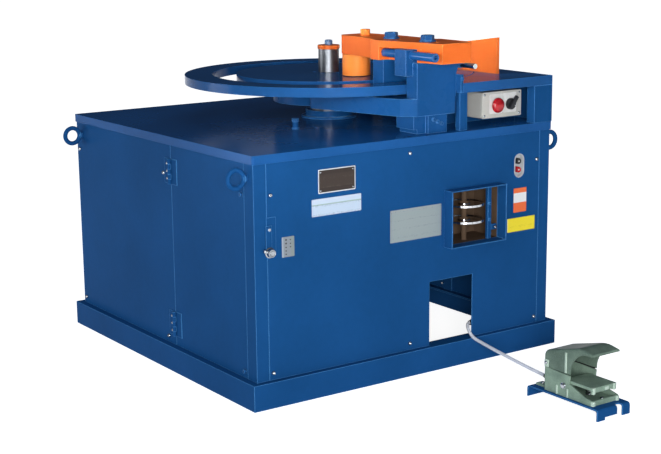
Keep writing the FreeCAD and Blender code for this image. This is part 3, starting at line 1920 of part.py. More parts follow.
def electrical_box():
    x = (size.electrical_left, size.electrical_left + size.electrical_width)
    z = (size.electrical_low, size.electrical_low + size.electrical_height)
    back = body_back - size.panel_sheet
    front = back - size.electrical_depth
    edge = size.electrical_door_edge
    door = box(inset(x, edge), (front - size.panel_sheet, front), inset(z, edge))
    return group(fuse(box(x, (front, back), z), door), cord_clamp())


def cord_clamp():
    """A block behind the front panel, with the gland in which the foot switch cord ends."""
    x, y, z = (Size(float(value), f"({value})") for value in CORD_POINTS[0])
    grip = size.gland_radius + size.clamp_wall
    gland_left = switch_x + x
    block_left = gland_left + size.gland_length / 2
    block_y = (body_front + size.panel_sheet, y + grip)
    block = box((block_left, block_left + grip * 2), block_y, (z - grip, z + grip))
    return fuse(block, rod("X", (y, z), (gland_left, block_left), size.gland_radius))


node("electrical_box", electrical_box())


SENSOR_ANGLES = (-50, -70)


def limit_switches():
    """Two switches on the deck beside the bull gear."""
    half = size.sensor_size / 2
    circle = size.gear_module * size.gear_teeth / 2 + size.sensor_from_gear
    body_top = gear_low + size.sensor_size
    parts = []
    for angle in SENSOR_ANGLES:
        x, y = around(angle, circle)
        parts.append(fuse(
            box((x - half, x + half), (y - half, y + half), (deck_top, body_top)),
            rod("Z", (x, y), (body_top, body_top + size.sensor_stem_height), size.sensor_stem),
        ))
    return group(*parts)


node("limit_switches", limit_switches())


# Foot switch: a bent bracket on the floor, a cast base with pedal, and a hood with a visor

bracket_y = (-size.switch_reach, -size.switch_reach + size.bracket_length)
bracket_x = (size.bracket_left, size.bracket_left + size.bracket_width)
bracket_top = size.bracket_height
base_x = (size.base_left, size.base_left + size.base_width)


def foot_switch_bracket():
    """Sheet bent down at both ends; its near end stands on two feet with a rounded slot beside them."""
    sheet = size.bracket_sheet
    left, right = bracket_x
    near, rear = bracket_y
    profile = [
        (near, 0), (near + sheet, 0), (near + sheet, bracket_top - sheet),
        (rear - sheet, bracket_top - sheet), (rear - sheet, 0), (rear, 0),
        (rear, bracket_top), (near, bracket_top),
    ]
    bent = slab("YZ", profile, bracket_x)
    outer_level = number(bracket_top)
    round_edges(bent, size.bracket_bend, lambda edge: crosswise(edge) and at_level(edge, outer_level))
    inner_level = outer_level - number(sheet)
    round_edges(bent, size.bracket_bend - sheet, lambda edge: crosswise(edge) and at_level(edge, inner_level))
    slot_x = (right - size.notch_from_right, right - size.notch_from_right + size.bracket_notch)
    raised = box((left + size.front_foot_width, slot_x[0]), (near - CUT_PAST, near + sheet + CUT_PAST),
                 (-CUT_PAST, size.bracket_foot_rise))
    slot_z = past((0, bracket_top))
    half = size.bracket_notch / 2
    slot = fuse(box(slot_x, (near - CUT_PAST, near + size.notch_reach), slot_z),
                rod("Z", (slot_x[0] + half, near + size.notch_reach), slot_z, half))
    return cut(bent, raised, slot)


node("foot_switch_bracket", foot_switch_bracket())


def foot_switch_base():
    wall = size.base_wall
    low = bracket_top
    rear_high = low + size.base_rear_height
    side_high = low + size.base_side_height
    side = [
        (size.base_front, low), (size.base_back, low), (size.base_back, rear_high),
        (size.case_front, rear_high - size.case_slope),
        (size.case_front + size.case_rake, side_high + size.side_rise),
        (size.base_front + size.nose_length, side_high - size.side_fall),
        (size.base_front, low + size.nose_height),
    ]
    block = round_edges(slab("YZ", side, base_x), size.cast_corner, upright)
    hollow = box(inset(base_x, wall), (size.base_front + wall, size.base_back - wall),
                 (low + wall, rear_high + CUT_PAST))
    pin_hole = rod("X", (size.pedal_pin_y, size.pedal_pin_z), past(base_x), size.pedal_pin)
    back_wall = (size.base_back - wall, size.base_back)
    entry = rod("Y", (switch_x, cord_entry_z), past(back_wall), size.gland_radius)
    lugs = [
        box((x - size.lug_half, x + size.lug_half), (size.base_back, size.base_back + size.base_lug_length),
            (low, low + size.base_lug_thickness))
        for x in lug_places()
    ]
    gland = tube("Y", (switch_x, cord_entry_z), (size.base_back - wall, size.base_back + size.gland_length),
                 size.cord_radius, size.gland_radius)
    return fuse(cut(block, hollow, pin_hole, entry), gland, *lugs)


def lug_places():
    return (switch_x - size.lug_spread, switch_x + size.lug_spread)


cord_entry_z = bracket_top + size.cord_entry

node("foot_switch_base", foot_switch_base())


def foot_switch_hood():
    """A cast hood: closed behind, open at the front between two cheeks that sweep up into a visor."""
    wall = size.hood_wall
    seat = bracket_top + size.base_rear_height + size.soft_gap
    back = size.base_back
    front = size.case_front
    back_high = seat + size.hood_back_height
    side = [
        (back, seat), (back, back_high), (size.crown_y, size.crown_z), (size.visor_tip, size.visor_high),
        (size.visor_tip, size.visor_low), (front, size.visor_low), (front, seat),
    ]
    shell = slab("YZ", side, base_x)
    back_level = number(back_high)
    crown_level = number(size.crown_z)
    cheek_place = number(front)
    cheek_level = number(size.visor_low)
    round_edges(shell, size.hood_back_round, lambda edge: crosswise(edge) and at_level(edge, back_level))
    round_edges(shell, size.crown_round, lambda edge: crosswise(edge) and at_level(edge, crown_level))
    round_edges(shell, size.cheek_round,
                lambda edge: crosswise(edge) and at_level(edge, cheek_level) and at_back(edge, cheek_place))
    round_edges(shell, size.cast_corner, on_hood_rim)
    floor = seat - size.seam - CUT_PAST
    tip = size.visor_tip - CUT_PAST
    roof = size.hood_roof
    inner_side = [
        (back - wall, floor), (back - wall, back_high - roof), (size.crown_y, size.crown_z - roof),
        (size.visor_tip, size.visor_low), (tip, size.visor_low), (tip, floor),
    ]
    return cut(shell, slab("YZ", inner_side, inset(base_x, wall)))


def on_hood_rim(edge):
    """The edges where a cheek meets the back and the roof, without the seat, the tip and the open side."""
    middle = edge.CenterOfMass
    on_cheek = min(abs(middle.x), abs(middle.x - number(size.base_width))) < NEAR
    on_seat = at_level(edge, number(bracket_top + size.base_rear_height + size.soft_gap))
    on_tip = at_back(edge, number(size.visor_tip))
    on_open_side = middle.y < number(size.case_front) + NEAR and middle.z < number(size.visor_low) + NEAR
    return on_cheek and not (on_seat or on_tip or on_open_side)


node("foot_switch_hood", foot_switch_hood())


def foot_switch_fasteners():
    """The pedal's pivot bolt with its nuts, and the screws that hold the base."""
    centre = (size.pedal_pin_y, size.pedal_pin_z)
    left = (base_x[0] - size.pivot_nut_height, base_x[0])
    right = (base_x[1], base_x[1] + size.pivot_nut_height)
    pivot = fuse(
        rod("X", centre, (left[0], right[1]), size.pedal_pin),
        hexagon("X", centre, left, size.pivot_nut),
        hexagon("X", centre, right, size.pivot_nut),
    )
    lug_top = bracket_top + size.base_lug_thickness
    feet = [
        rod("Z", (x, size.base_back + size.base_lug_screw), (lug_top, lug_top + size.lug_screw_rise),
            size.lug_screw_head)
        for x in lug_places()
    ]
    floor = bracket_top + size.base_wall
    front = rod("Z", (switch_x, size.base_front + size.front_screw), (floor, floor + size.lug_screw_rise),
                size.lug_screw_head)
    return group(pivot, front, *feet)


node("foot_switch_fasteners", foot_switch_fasteners())


def pedal():
    """A flat tread on a hinge tube, turned down at its near edge."""
    high = size.pedal_lift
    near = size.pedal_near
    far = size.pedal_far
    inner = inset(base_x, size.base_wall + size.pedal_side_gap)
    centre = (size.pedal_pin_y, size.pedal_pin_z)
    lip_low = high - size.pedal_lip_drop
    side = [
        (near, lip_low), (near + size.pedal_lip, lip_low), (near + size.pedal_lip, high),
        (far - size.pedal_web, high), (far - size.pedal_web / 2, size.pedal_pin_z), (far, size.pedal_pin_z),
        (far, high + size.pedal_sheet), (near, high + size.pedal_sheet),
    ]
    tread = slab("YZ", side, inner)
    barrel = rod("X", centre, inner, size.pedal_pin + size.pedal_barrel_wall)
    bore = rod("X", centre, past(inner), size.pedal_pin + size.running_fit)
    return cut(fuse(tread, barrel), bore)


node("pedal", pedal())


SPRING_STEP_COUNT = 12


def pedal_spring():
    """An open coil between the base floor and the underside of the tread."""
    low = bracket_top + size.base_wall + size.spring_wire
    high = size.pedal_lift - size.spring_wire - size.soft_gap
    radius = number(size.spring_radius)
    height = number(high - low)
    turns = int(number(size.spring_turns))
    steps = SPRING_STEP_COUNT
    wire = number(size.spring_wire)
    points = [
        Vector(radius * math.cos(2 * math.pi * step / steps), radius * math.sin(2 * math.pi * step / steps),
               height * step / (turns * steps))
        for step in range(turns * steps + 1)
    ]
    arcs = [Part.Arc(*points[index:index + 3]).toShape() for index in range(0, len(points) - 1, 2)]
    path = Part.Wire(arcs)
    start = points[0]
    section = Part.Wire([Part.makeCircle(wire, start, points[1] - start)])
    piece = document.addObject("Part::Feature", "spring")
    piece.Shape = path.makePipeShell([section], True, False)
    print("spring gap", round(height / turns - 2 * wire, 2))
    return piece, low


spring, spring_low = pedal_spring()
node("pedal_spring", spring, switch_x, size.base_front + size.spring_from_front, spring_low)


# The cord itself

ARC_SHARE = 0.45


def cord_path(points):
    """Runs and tangent arcs through the points; each arc is as large as its two runs allow."""
    edges = []
    start = points[0]
    length = 0.0
    for before, corner, after in zip(points, points[1:], points[2:]):
        way_in = (corner - before).normalize()
        way_out = (after - corner).normalize()
        half_turn = way_in.getAngle(way_out) / 2
        shorter = min(before.distanceToPoint(corner), corner.distanceToPoint(after))
        reach = ARC_SHARE * shorter
        radius = reach / math.tan(half_turn)
        first = corner - way_in * reach
        last = corner + way_out * reach
        bisector = (way_out - way_in).normalize()
        middle = corner + bisector * (radius / math.cos(half_turn) - radius)
        edges.append(Part.LineSegment(start, first).toShape())
        edges.append(Part.Arc(first, middle, last).toShape())
        length += start.distanceToPoint(first) + 2 * half_turn * radius
        print("cord radius", round(radius, 1), "turn", round(math.degrees(2 * half_turn), 1))
        start = last
    edges.append(Part.LineSegment(start, points[-1]).toShape())
    length += start.distanceToPoint(points[-1])
    return Part.Wire(edges), length


def foot_switch_cord():
    points = [Vector(*point) for point in CORD_POINTS]
    path, length = cord_path(points)
    radius = number(size.cord_radius)
    section = Part.Wire([Part.makeCircle(radius, points[0], points[1] - points[0])])
    cord = document.addObject("Part::Feature", "cord")
    cord.Shape = path.makePipeShell([section], True, False)
    wanted = math.pi * radius ** 2 * length
    print("cord length", round(length, 1), "volume share", round(cord.Shape.Volume / wanted, 4))
    return cord


node("foot_switch_cord", foot_switch_cord(), switch_x)

document.recompute()

for item in document.Objects:
    if "Invalid" in item.State or "Error" in item.State:
        raise RuntimeError(f"{item.Name} ({item.Label}) failed to compute")

os.makedirs("parts", exist_ok=True)
for item in nodes:
    if item.Shape.isNull() or not item.Shape.isValid():
        raise RuntimeError(f"{item.Label} has no valid shape")
    item.Shape.exportStep(f"parts/{item.Label}.step")
print(len(nodes), "sub-parts")
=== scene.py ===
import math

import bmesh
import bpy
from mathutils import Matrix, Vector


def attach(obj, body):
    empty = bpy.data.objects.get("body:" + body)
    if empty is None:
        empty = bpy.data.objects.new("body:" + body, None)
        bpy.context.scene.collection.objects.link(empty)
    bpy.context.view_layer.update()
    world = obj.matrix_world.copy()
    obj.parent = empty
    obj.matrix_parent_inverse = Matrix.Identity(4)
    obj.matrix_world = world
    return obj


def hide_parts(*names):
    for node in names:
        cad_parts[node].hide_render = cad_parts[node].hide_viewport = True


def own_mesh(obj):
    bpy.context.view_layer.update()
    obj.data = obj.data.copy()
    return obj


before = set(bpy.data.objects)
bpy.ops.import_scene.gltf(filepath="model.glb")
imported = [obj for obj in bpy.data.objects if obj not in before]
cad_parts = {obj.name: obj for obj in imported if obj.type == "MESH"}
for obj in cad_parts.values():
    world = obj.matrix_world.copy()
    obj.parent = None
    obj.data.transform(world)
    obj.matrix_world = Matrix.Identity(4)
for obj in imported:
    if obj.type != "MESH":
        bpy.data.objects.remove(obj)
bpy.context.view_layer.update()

# %% [markdown]
# # A rebar bending machine
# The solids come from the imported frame, so this lesson only dresses them. It makes the camera and the
# cord first, then one finish at a time, then the pieces whose real shape is too fine for the solids:
# screws, knurls, plates, buttons, graduations and cast ribs. Floor and light come last. Every length is
# in metres here, and the helper `at` takes millimetres from the near left corner of the plinth. The
# makers of small solids take millimetres too.

CORNER = Vector((-0.5535, -0.259, 0.0))


def at(x, y, z):
    """A point in metres from millimetres right of, behind and above the plinth's near left corner."""
    return CORNER + Vector((x, y, z)) / 1000


# %% [markdown]
# ## The camera
# A photograph can be turned back into a camera: the cabinet's edges are straight and square, so the
# places of its corners in the picture give the turn, the tilt, the distance and the lens. The numbers
# below come from such a fit. The small roll is real, because the camera was not quite level.

# %% Camera
YAW = 0.6059826772
PITCH = 0.2107886275
ROLL = 0.0105441963
LENS_MM = 78.0
SENSOR_MM = 36.0
CAMERA_PLACE = at(-1929.9, -3154.1, 1303.4)
FARTHEST_SEEN = 60

forward = Vector((math.sin(YAW) * math.cos(PITCH), math.cos(YAW) * math.cos(PITCH), -math.sin(PITCH)))
right = Vector((math.cos(YAW), -math.sin(YAW), 0))
down = forward.cross(right)
rolled_right = right * math.cos(ROLL) + down * math.sin(ROLL)
rolled_down = down * math.cos(ROLL) - right * math.sin(ROLL)

camera_data = bpy.data.cameras.new("photo_camera")
camera_data.lens = LENS_MM
camera_data.sensor_width = SENSOR_MM
camera_data.clip_end = FARTHEST_SEEN
camera = bpy.data.objects.new("photo_camera", camera_data)
turn = Matrix((rolled_right, -rolled_down, -forward)).transposed()
camera.matrix_world = Matrix.Translation(CAMERA_PLACE) @ turn.to_4x4()
bpy.context.scene.collection.objects.link(camera)
bpy.context.scene.camera = camera
bpy.context.scene.view_settings.view_transform = "Standard"
print("camera", [round(value, 3) for value in camera.matrix_world.translation])

# %% [markdown]
# ## The cord of the foot switch
# The cord is a light grey flexible lead of 10 mm. It could be a tube swept along arcs, but real cord has
# no arcs: its bend changes all along. A NURBS spline of order 3 with its ends on the first and last
# point gives such a line. It leaves a clamp behind the front panel, passes through the square opening,
# bends over the plinth and runs down to the switch, which it enters through a gland. The route is
# written in millimetres from the middle of the switch.

# %% Cord
CORD_DIAMETER = 0.010
SWITCH_MIDDLE = 750
CORD_ROUTE = (
    (50, 38, 110), (37, 38, 110), (27, 32, 109), (19, 22, 104), (13, 8, 94), (13, -10, 80),
    (15, -38, 73.5), (12.5, -95, 67.2), (9.3, -158, 61), (5.8, -226, 55.1), (2.3, -296, 49.9), (0, -361, 46),
)
cord_points = [at(SWITCH_MIDDLE + x, y, z) for x, y, z in CORD_ROUTE]

cord_curve = bpy.data.curves.new("cord_line", "CURVE")
cord_curve.dimensions = "3D"
spline = cord_curve.splines.new("NURBS")
spline.points.add(len(cord_points) - 1)
for point, place in zip(spline.points, cord_points):
    point.co = (*place, 1)
    point.radius = CORD_DIAMETER / 2
spline.order_u = 3
spline.use_endpoint_u = True
cord_curve.resolution_u = 16
cord_curve.bevel_resolution = 5


def curve_length(curve):
    """The length of a curve's own line, measured on a copy with no thickness."""
    holder = bpy.data.objects.new("measure", curve)
    line = bpy.data.meshes.new_from_object(holder)
    ends = [[line.vertices[index].co for index in edge.vertices] for edge in line.edges]
    total = sum((first - second).length for first, second in ends)
    bpy.data.objects.remove(holder)
    bpy.data.meshes.remove(line)
    return total


cord_length = curve_length(cord_curve)
cord_curve.bevel_depth = 1.0
cord_curve.use_fill_caps = True
cord = bpy.data.objects.new("lead_of_foot_switch", cord_curve)
bpy.context.scene.collection.objects.link(cord)
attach(cord, "frame")
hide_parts("foot_switch_cord")
print("cord length", round(cord_length, 4))

# %% [markdown]
# ## One helper for nodes, one for colours
# A finish is a small network of nodes, and so is a Geometry Nodes tree. One function adds a node with
# its settings and its links. Another turns a colour as a screen shows it, such as #1d4f8c, into the
# linear numbers that light is added in. Each new material starts with the object's own coordinates,
# which stay on the piece when it moves.

# %% Helpers for nodes and colours


def linear(hex_colour):
    """The linear colour of a screen colour written as #rrggbb."""
    channels = [int(hex_colour[index:index + 2], 16) / 255 for index in (1, 3, 5)]
    return [c / 12.92 if c <= 0.04045 else ((c + 0.055) / 1.055) ** 2.4 for c in channels] + [1.0]


def add(tree, kind, inputs=None, stops=(), **settings):
    """Add a node. An input takes a value, an output, a node for its first output, or a tuple of nodes.

    Stops fill a colour ramp: each is a position and a linear colour.
    """
    node = tree.nodes.new(kind)
    for name, value in settings.items():
        setattr(node, name, value)
    for name, value in (inputs or {}).items():
        several = isinstance(value, tuple) and isinstance(value[0], bpy.types.Node)
        for part in value if several else (value,):
            if isinstance(part, bpy.types.Node):
                part = part.outputs[0]
            if isinstance(part, bpy.types.NodeSocket):
                tree.links.new(part, node.inputs[name])
            else:
                node.inputs[name].default_value = part
    if stops:
        elements = node.color_ramp.elements
        while len(elements) < len(stops):
            elements.new(0.5)
        for element, (position, colour) in zip(elements, stops):
            element.position = position
            element.color = colour
    return node


def new_material(name):
    """An empty material with the object's own coordinates."""
    material = bpy.data.materials.new(name)
    material.use_nodes = True
    tree = material.node_tree
    tree.nodes.clear()
    place = add(tree, "ShaderNodeTexCoord").outputs["Object"]
    return material, tree, place


print("white is", [round(value, 3) for value in linear("#ffffff")])

# %% [markdown]
# ## Gloss enamel on sheet steel
# The cabinet is sprayed with gloss machine enamel. Sprayed enamel is never quite flat: it has orange
# peel about 2 mm across and a faint cloudiness from uneven thickness. The peel is too fine to see from
# here, so it is drawn at 6 mm and very shallow, where it only breaks up the reflections. Dusty spots
# raise the roughness a little. Each edge is eased by one to three millimetres, and where the eased
# direction leaves the flat one the paint is lighter: a painted highlight along the edges.

# %% Enamel finishes


def enamel(name, colour, shade, roughness, edge_radius=0.0012, peel=0.000012, specular=0.02,
           edge_highlight_colour=None):
    """Sprayed enamel: a colour, its cloudier shade, orange peel, and an eased edge that may carry a painted
    highlight.
    """
    material, tree, place = new_material(name)
    cloud = add(tree, "ShaderNodeTexNoise", {"Vector": place, "Scale": 3.2, "Detail": 5.0})
    mottle = add(tree, "ShaderNodeTexNoise", {"Vector": place, "Scale": 60.0, "Detail": 3.0})
    blend = add(tree, "ShaderNodeMath", {0: mottle, 1: 0.2, 2: cloud}, operation="MULTIPLY_ADD")
    body = add(tree, "ShaderNodeValToRGB", {"Fac": blend}, [(0.4, linear(shade)), (0.75, linear(colour))])
    peel_skin = add(tree, "ShaderNodeTexNoise", {"Vector": place, "Scale": 170.0, "Detail": 2.0})
    dust = add(tree, "ShaderNodeTexNoise", {
        "Vector": place, "Scale": 14.0, "Detail": 6.0, "Roughness": 0.65,
    })
    eased = add(tree, "ShaderNodeBevel", {"Radius": edge_radius}, samples=6)
    bumped = add(tree, "ShaderNodeBump", {
        "Height": peel_skin, "Distance": peel, "Strength": 0.7, "Normal": eased,
    })
    uneven = add(tree, "ShaderNodeMapRange", {
        "Value": dust, "To Min": roughness * 0.8, "To Max": roughness * 1.35,
    })
    flat = add(tree, "ShaderNodeNewGeometry").outputs["Normal"]
    agreement = add(tree, "ShaderNodeVectorMath", {0: flat, 1: eased}, operation="DOT_PRODUCT")
    # Painted highlight: where the eased normal leaves the flat one, the paint turns to the lighter edge
    # colour.
    edge_highlight_mask = add(tree, "ShaderNodeMapRange", {
        "Value": agreement.outputs["Value"], "From Min": 0.995, "From Max": 0.90,
    })
    tone = add(tree, "ShaderNodeMix", {
        "Factor": edge_highlight_mask, 6: body, 7: linear(edge_highlight_colour or colour),
    }, data_type="RGBA")
    shader = add(tree, "ShaderNodeBsdfPrincipled", {
        "Base Color": tone.outputs[2],
        "Roughness": uneven,
        "Normal": bumped,
        "Specular IOR Level": specular,
    })
    add(tree, "ShaderNodeOutputMaterial", {"Surface": shader})
    return material


# Each edge colour below is a painted highlight along that paint's edges.
blue_enamel = enamel("blue machine enamel on sheet", "#1b5089", "#17487c", 0.30, 0.003, specular=0.008,
                     edge_highlight_colour="#4a8ac6")
table_enamel = enamel("deep blue gloss enamel on plate", "#1e5898", "#194e88", 0.15, peel=0.000006,
                      specular=0.05, edge_highlight_colour="#2f6cae")
disc_enamel = enamel("dark blue gloss enamel on machined plate", "#225a98", "#1c4f86", 0.15, 0.002,
                     0.000006, specular=0.05, edge_highlight_colour="#3a74b4")
cast_blue_enamel = enamel("blue enamel on machined blocks", "#1b5390", "#174a80", 0.26, edge_radius=0.0025,
                          specular=0.05, edge_highlight_colour="#5b94cc")
rod_enamel = enamel("blue gloss enamel on a rod", "#1e5b9c", "#17508c", 0.16, specular=0.6)
orange_enamel = enamel("orange enamel on machined plate", "#ec722e", "#e66827", 0.28, edge_radius=0.0022,
                       specular=0.1, edge_highlight_colour="#fba35c")
# A brighter, yellower copy of the orange enamel: painted light on the roller and the lock pin, which the
# lamps light little.
brightened_roller_enamel = enamel("orange enamel brightened as painted light on turned steel", "#fb9444", "#f78a38", 0.24, specular=0.10)
# The reaction plate's orange is raised to full brightness: painted light on a plate that sits in the arm's
# shadow.
brightened_reaction_enamel = enamel("orange enamel brightened as painted light on plate", "#ff8038", "#ff7830", 0.28, edge_radius=0.002,
                           specular=0.08, edge_highlight_colour="#ffa060")
box_enamel = enamel("warm grey satin enamel", "#c6c5be", "#bbbab3", 0.38, edge_radius=0.002, specular=0.2)
motor_enamel = enamel("slate grey satin enamel", "#6b7074", "#5e6367", 0.45)
primer = enamel("brown primer", "#6a5646", "#58483a", 0.7)
print("enamels ready")

# %% [markdown]
# ## Bare metals
# Turned steel keeps fine rings from the lathe, so its roughness changes with height. Zinc plated screws
# are a little bluish and cloudy. Chromed dial rims are the brightest thing on the machine. Metals keep
# the default index of refraction, because their base colour does the work. The feed marks are really
# 0.2 mm apart; they are drawn at about 0.8 mm so that they show.

# %% Metal finishes
WAVES_PER_SCALE = 20


def turned_metal(name, colour, dark, roughness, pitch_mm=0.8, depth=0.000004):
    """Lathe-turned metal: feed marks along Z, under a cloudy film."""
    material, tree, place = new_material(name)
    rings = add(tree, "ShaderNodeTexWave", {
        "Vector": place, "Scale": 1000 / pitch_mm / WAVES_PER_SCALE, "Distortion": 1.2, "Detail": 2.0,
    }, wave_type="BANDS", bands_direction="Z").outputs["Fac"]
    smear = add(tree, "ShaderNodeTexNoise", {"Vector": place, "Scale": 35.0, "Detail": 4.0})
    both = add(tree, "ShaderNodeMath", {0: rings, 1: smear}, operation="MULTIPLY")
    tone = add(tree, "ShaderNodeValToRGB", {"Fac": smear}, [(0.3, linear(dark)), (0.7, linear(colour))])
    uneven = add(tree, "ShaderNodeMapRange", {
        "Value": both, "To Min": roughness * 0.75, "To Max": roughness * 1.5,
    })
    eased = add(tree, "ShaderNodeBevel", {"Radius": 0.0008}, samples=4)
    bumped = add(tree, "ShaderNodeBump", {
        "Height": rings, "Distance": depth, "Strength": 0.6, "Normal": eased,
    })
    shader = add(tree, "ShaderNodeBsdfPrincipled", {
        "Base Color": tone,
        "Metallic": 1.0,
        "Roughness": uneven,
        "Normal": bumped,
    })
    add(tree, "ShaderNodeOutputMaterial", {"Surface": shader})
    return material


turned_steel = turned_metal("turned steel", "#84878c", "#676a6f", 0.42, depth=0.0000008)
oiled_steel = turned_metal("hobbed steel with oil", "#8a8985", "#5f5c57", 0.36)
ground_steel = turned_metal("ground bearing steel", "#c9cacc", "#b4b5b8", 0.16, 0.3, 0.000001)
plated_steel = turned_metal("zinc plated steel", "#bcc0c5", "#979ca2", 0.24, 0.5, 0.000002)
chrome = turned_metal("chromed steel", "#dddfe2", "#c6c9cd", 0.10, 0.4, 0.0000005)
print("metals ready")

# %% [markdown]
# ## Castings and plastics
# The foot switch is an aluminium casting in grey-green hammer enamel: paint that pulls itself into small
# dimples. A Voronoi pattern of about 3 mm cells gives those. The buttons are moulded plastic, which is
# nearly uniform with soft moulding marks.

# %% Casting and plastic finishes
HAMMER_CELL_MM = 3.0
PLASTIC_GRAIN = 1000 / 0.6 / 3
PLASTIC_IOR = 1.49


def hammered(name, colour, shade):
    """Hammer enamel on a casting: dimples in cells, darker where the paint is thin."""
    material, tree, place = new_material(name)
    cells = add(tree, "ShaderNodeTexVoronoi", {
        "Vector": place, "Scale": 1000 / HAMMER_CELL_MM, "Randomness": 0.9,
    }, feature="SMOOTH_F1")
    cloud = add(tree, "ShaderNodeTexNoise", {"Vector": place, "Scale": 22.0, "Detail": 4.0})
    tone = add(tree, "ShaderNodeMath", {0: cells, 1: 0.3, 2: cloud}, operation="MULTIPLY_ADD")
    paint = add(tree, "ShaderNodeValToRGB", {"Fac": tone}, [(0.4, linear(shade)), (0.8, linear(colour))])
    uneven = add(tree, "ShaderNodeMapRange", {"Value": cloud, "To Min": 0.26, "To Max": 0.42})
    eased = add(tree, "ShaderNodeBevel", {"Radius": 0.0015}, samples=4)
    dimples = add(tree, "ShaderNodeBump", {
        "Height": cells, "Distance": 0.0002, "Strength": 0.4, "Normal": eased,
    })
    shader = add(tree, "ShaderNodeBsdfPrincipled", {
        "Base Color": paint,
        "Roughness": uneven,
        "Normal": dimples,
        "Specular IOR Level": 0.12,
    })
    add(tree, "ShaderNodeOutputMaterial", {"Surface": shader})
    return material


def moulded(name, colour, roughness, coat=0.0):
    """Moulded plastic: an even colour, a fine spark-eroded grain, and slight handling marks."""
    material, tree, place = new_material(name)
    grain = add(tree, "ShaderNodeTexNoise", {"Vector": place, "Scale": PLASTIC_GRAIN})
    marks = add(tree, "ShaderNodeTexNoise", {"Vector": place, "Scale": 45.0, "Detail": 5.0})
    base = linear(colour)
    darker = [channel * 0.86 for channel in base[:3]] + [1.0]
    tone = add(tree, "ShaderNodeValToRGB", {"Fac": marks}, [(0.3, darker), (0.65, base)])
    uneven = add(tree, "ShaderNodeMapRange", {
        "Value": marks, "To Min": roughness * 0.85, "To Max": roughness * 1.25,
    })
    eased = add(tree, "ShaderNodeBevel", {"Radius": 0.0007}, samples=4)
    bumped = add(tree, "ShaderNodeBump", {
        "Height": grain, "Distance": 0.00001, "Strength": 0.5, "Normal": eased,
    })
    shader = add(tree, "ShaderNodeBsdfPrincipled", {
        "Base Color": tone,
        "Roughness": uneven,
        "Normal": bumped,
        "Coat Weight": coat,
        "IOR": PLASTIC_IOR,
    })
    add(tree, "ShaderNodeOutputMaterial", {"Surface": shader})
    return material


cast_enamel = hammered("grey-green hammer enamel on cast aluminium", "#8aa291", "#6c8275")
hood_enamel = hammered("dark grey-green hammer enamel on cast aluminium", "#6d8174", "#52645a")
# A lighter grey-green: a painted highlight for the rounded beads, ribs, lugs and bosses.
highlight_hammer_enamel = hammered("grey-green hammer enamel, lighter as a painted highlight", "#b9cdbf", "#9bb0a2")
red_plastic = moulded("red moulded plastic", "#b0161f", 0.22, coat=0.1)
black_plastic = moulded("black moulded plastic", "#1b1d21", 0.42)
seam_shade_black = moulded("black strip, painted shade in the seam", "#141517", 0.7)
white_plastic = moulded("white moulded plastic", "#e4e4e1", 0.4)
cord_jacket = moulded("grey flexible vinyl", "#e4e8f2", 0.45)
station_plastic = moulded("light grey moulded plastic", "#bfc2c6", 0.4)
knob_plastic = moulded("steel blue moulded plastic", "#5f7fa8", 0.35)
print("plastics ready")

# %% [markdown]
# ## The finish of each node
# Each node of the frame keeps its shape and takes one of the finishes. One table tells which piece has
# which finish. The pieces made later replace some of these nodes, and they bring their own finish.

# %% Give every node its finish
NODE_FINISH = {
    blue_enamel: (
        "plinth_frame", "cabinet_frame", "front_panel", "cabinet_panels", "left_door", "door_hinges",
        "lifting_eyes", "guard_box", "upper_table_frame", "latch_plate", "latch_strap", "gear_deck",
        "dial_pointers", "home_stop", "foot_switch_bracket",
    ),
    table_enamel: ("lower_table",),
    disc_enamel: ("inner_disc", "support_ring", "upper_table_plate"),
    cast_blue_enamel: (
        "swing_arm", "slide_shoe", "clamp_bolts", "ring_brackets", "hub_housing", "oil_filler",
    ),
    rod_enamel: ("adjusting_screw",),
    orange_enamel: ("roller_arm",),
    brightened_roller_enamel: ("bending_roller", "head_lock_pin"),
    brightened_reaction_enamel: ("reaction_plate",),
    box_enamel: ("control_box", "electrical_box"),
    motor_enamel: ("gearbox_case", "drive_motor"),
    primer: ("dial_housing",),
    turned_steel: ("hollow_spindle", "centre_post", "centre_roller", "roller_axle", "pedal_spring"),
    oiled_steel: ("bull_gear", "pinion"),
    ground_steel: ("spindle_bearings",),
    plated_steel: ("panel_screws", "foot_switch_fasteners", "latch_knob"),
    chrome: ("locking_rod", "angle_dial_lower", "angle_dial_upper"),
    cast_enamel: ("foot_switch_base", "pedal"),
    hood_enamel: ("foot_switch_hood",),
    red_plastic: ("stop_button", "power_off_button"),
    black_plastic: ("selector_knob", "start_button", "limit_switches"),
    station_plastic: ("button_station",),
    white_plastic: ("label_plates",),
    cord_jacket: ("foot_switch_cord",),
}

finished = set()
for material, names in NODE_FINISH.items():
    for name in names:
        for material_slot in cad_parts[name].material_slots:
            material_slot.material = material
        finished.add(name)
cord.data.materials.append(cord_jacket)
print("nodes with no finish:", sorted(set(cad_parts) - finished))

# %% [markdown]
# ## Helpers for solids
# The small pieces are turned, milled or bent, so three makers are enough. A lathe turns a profile about
# Z. A block is a box with rounded edges. A card is a thin plate with rounded corners. Each is made about
# the origin and then put in its place, and all the solids of one piece are gathered into one mesh. The
# piece's object stays at the origin, as the CAD nodes do.

# %% Helpers for solids
UPWARDS = (0, 0, 1)
FRONTWARDS = (0, -1, 0)
LEFTWARDS = (-1, 0, 0)
RIGHTWARDS = (1, 0, 0)
SHARP_ANGLE = math.radians(35)


def steps_round(count):
    """Equal steps of angle round a circle."""
    return [2 * math.pi * index / count for index in range(count)]


def skin(solid, rings):
    """Faces from each ring of points to the next; a ring with a single point is a pole."""
    for lower, upper in zip(rings, rings[1:]):
        count = max(len(lower), len(upper))
        for index in range(count):
            following = (index + 1) % count
            corners = (lower[index % len(lower)], lower[following % len(lower)],
                       upper[following % len(upper)], upper[index % len(upper)])
            solid.faces.new(dict.fromkeys(corners))


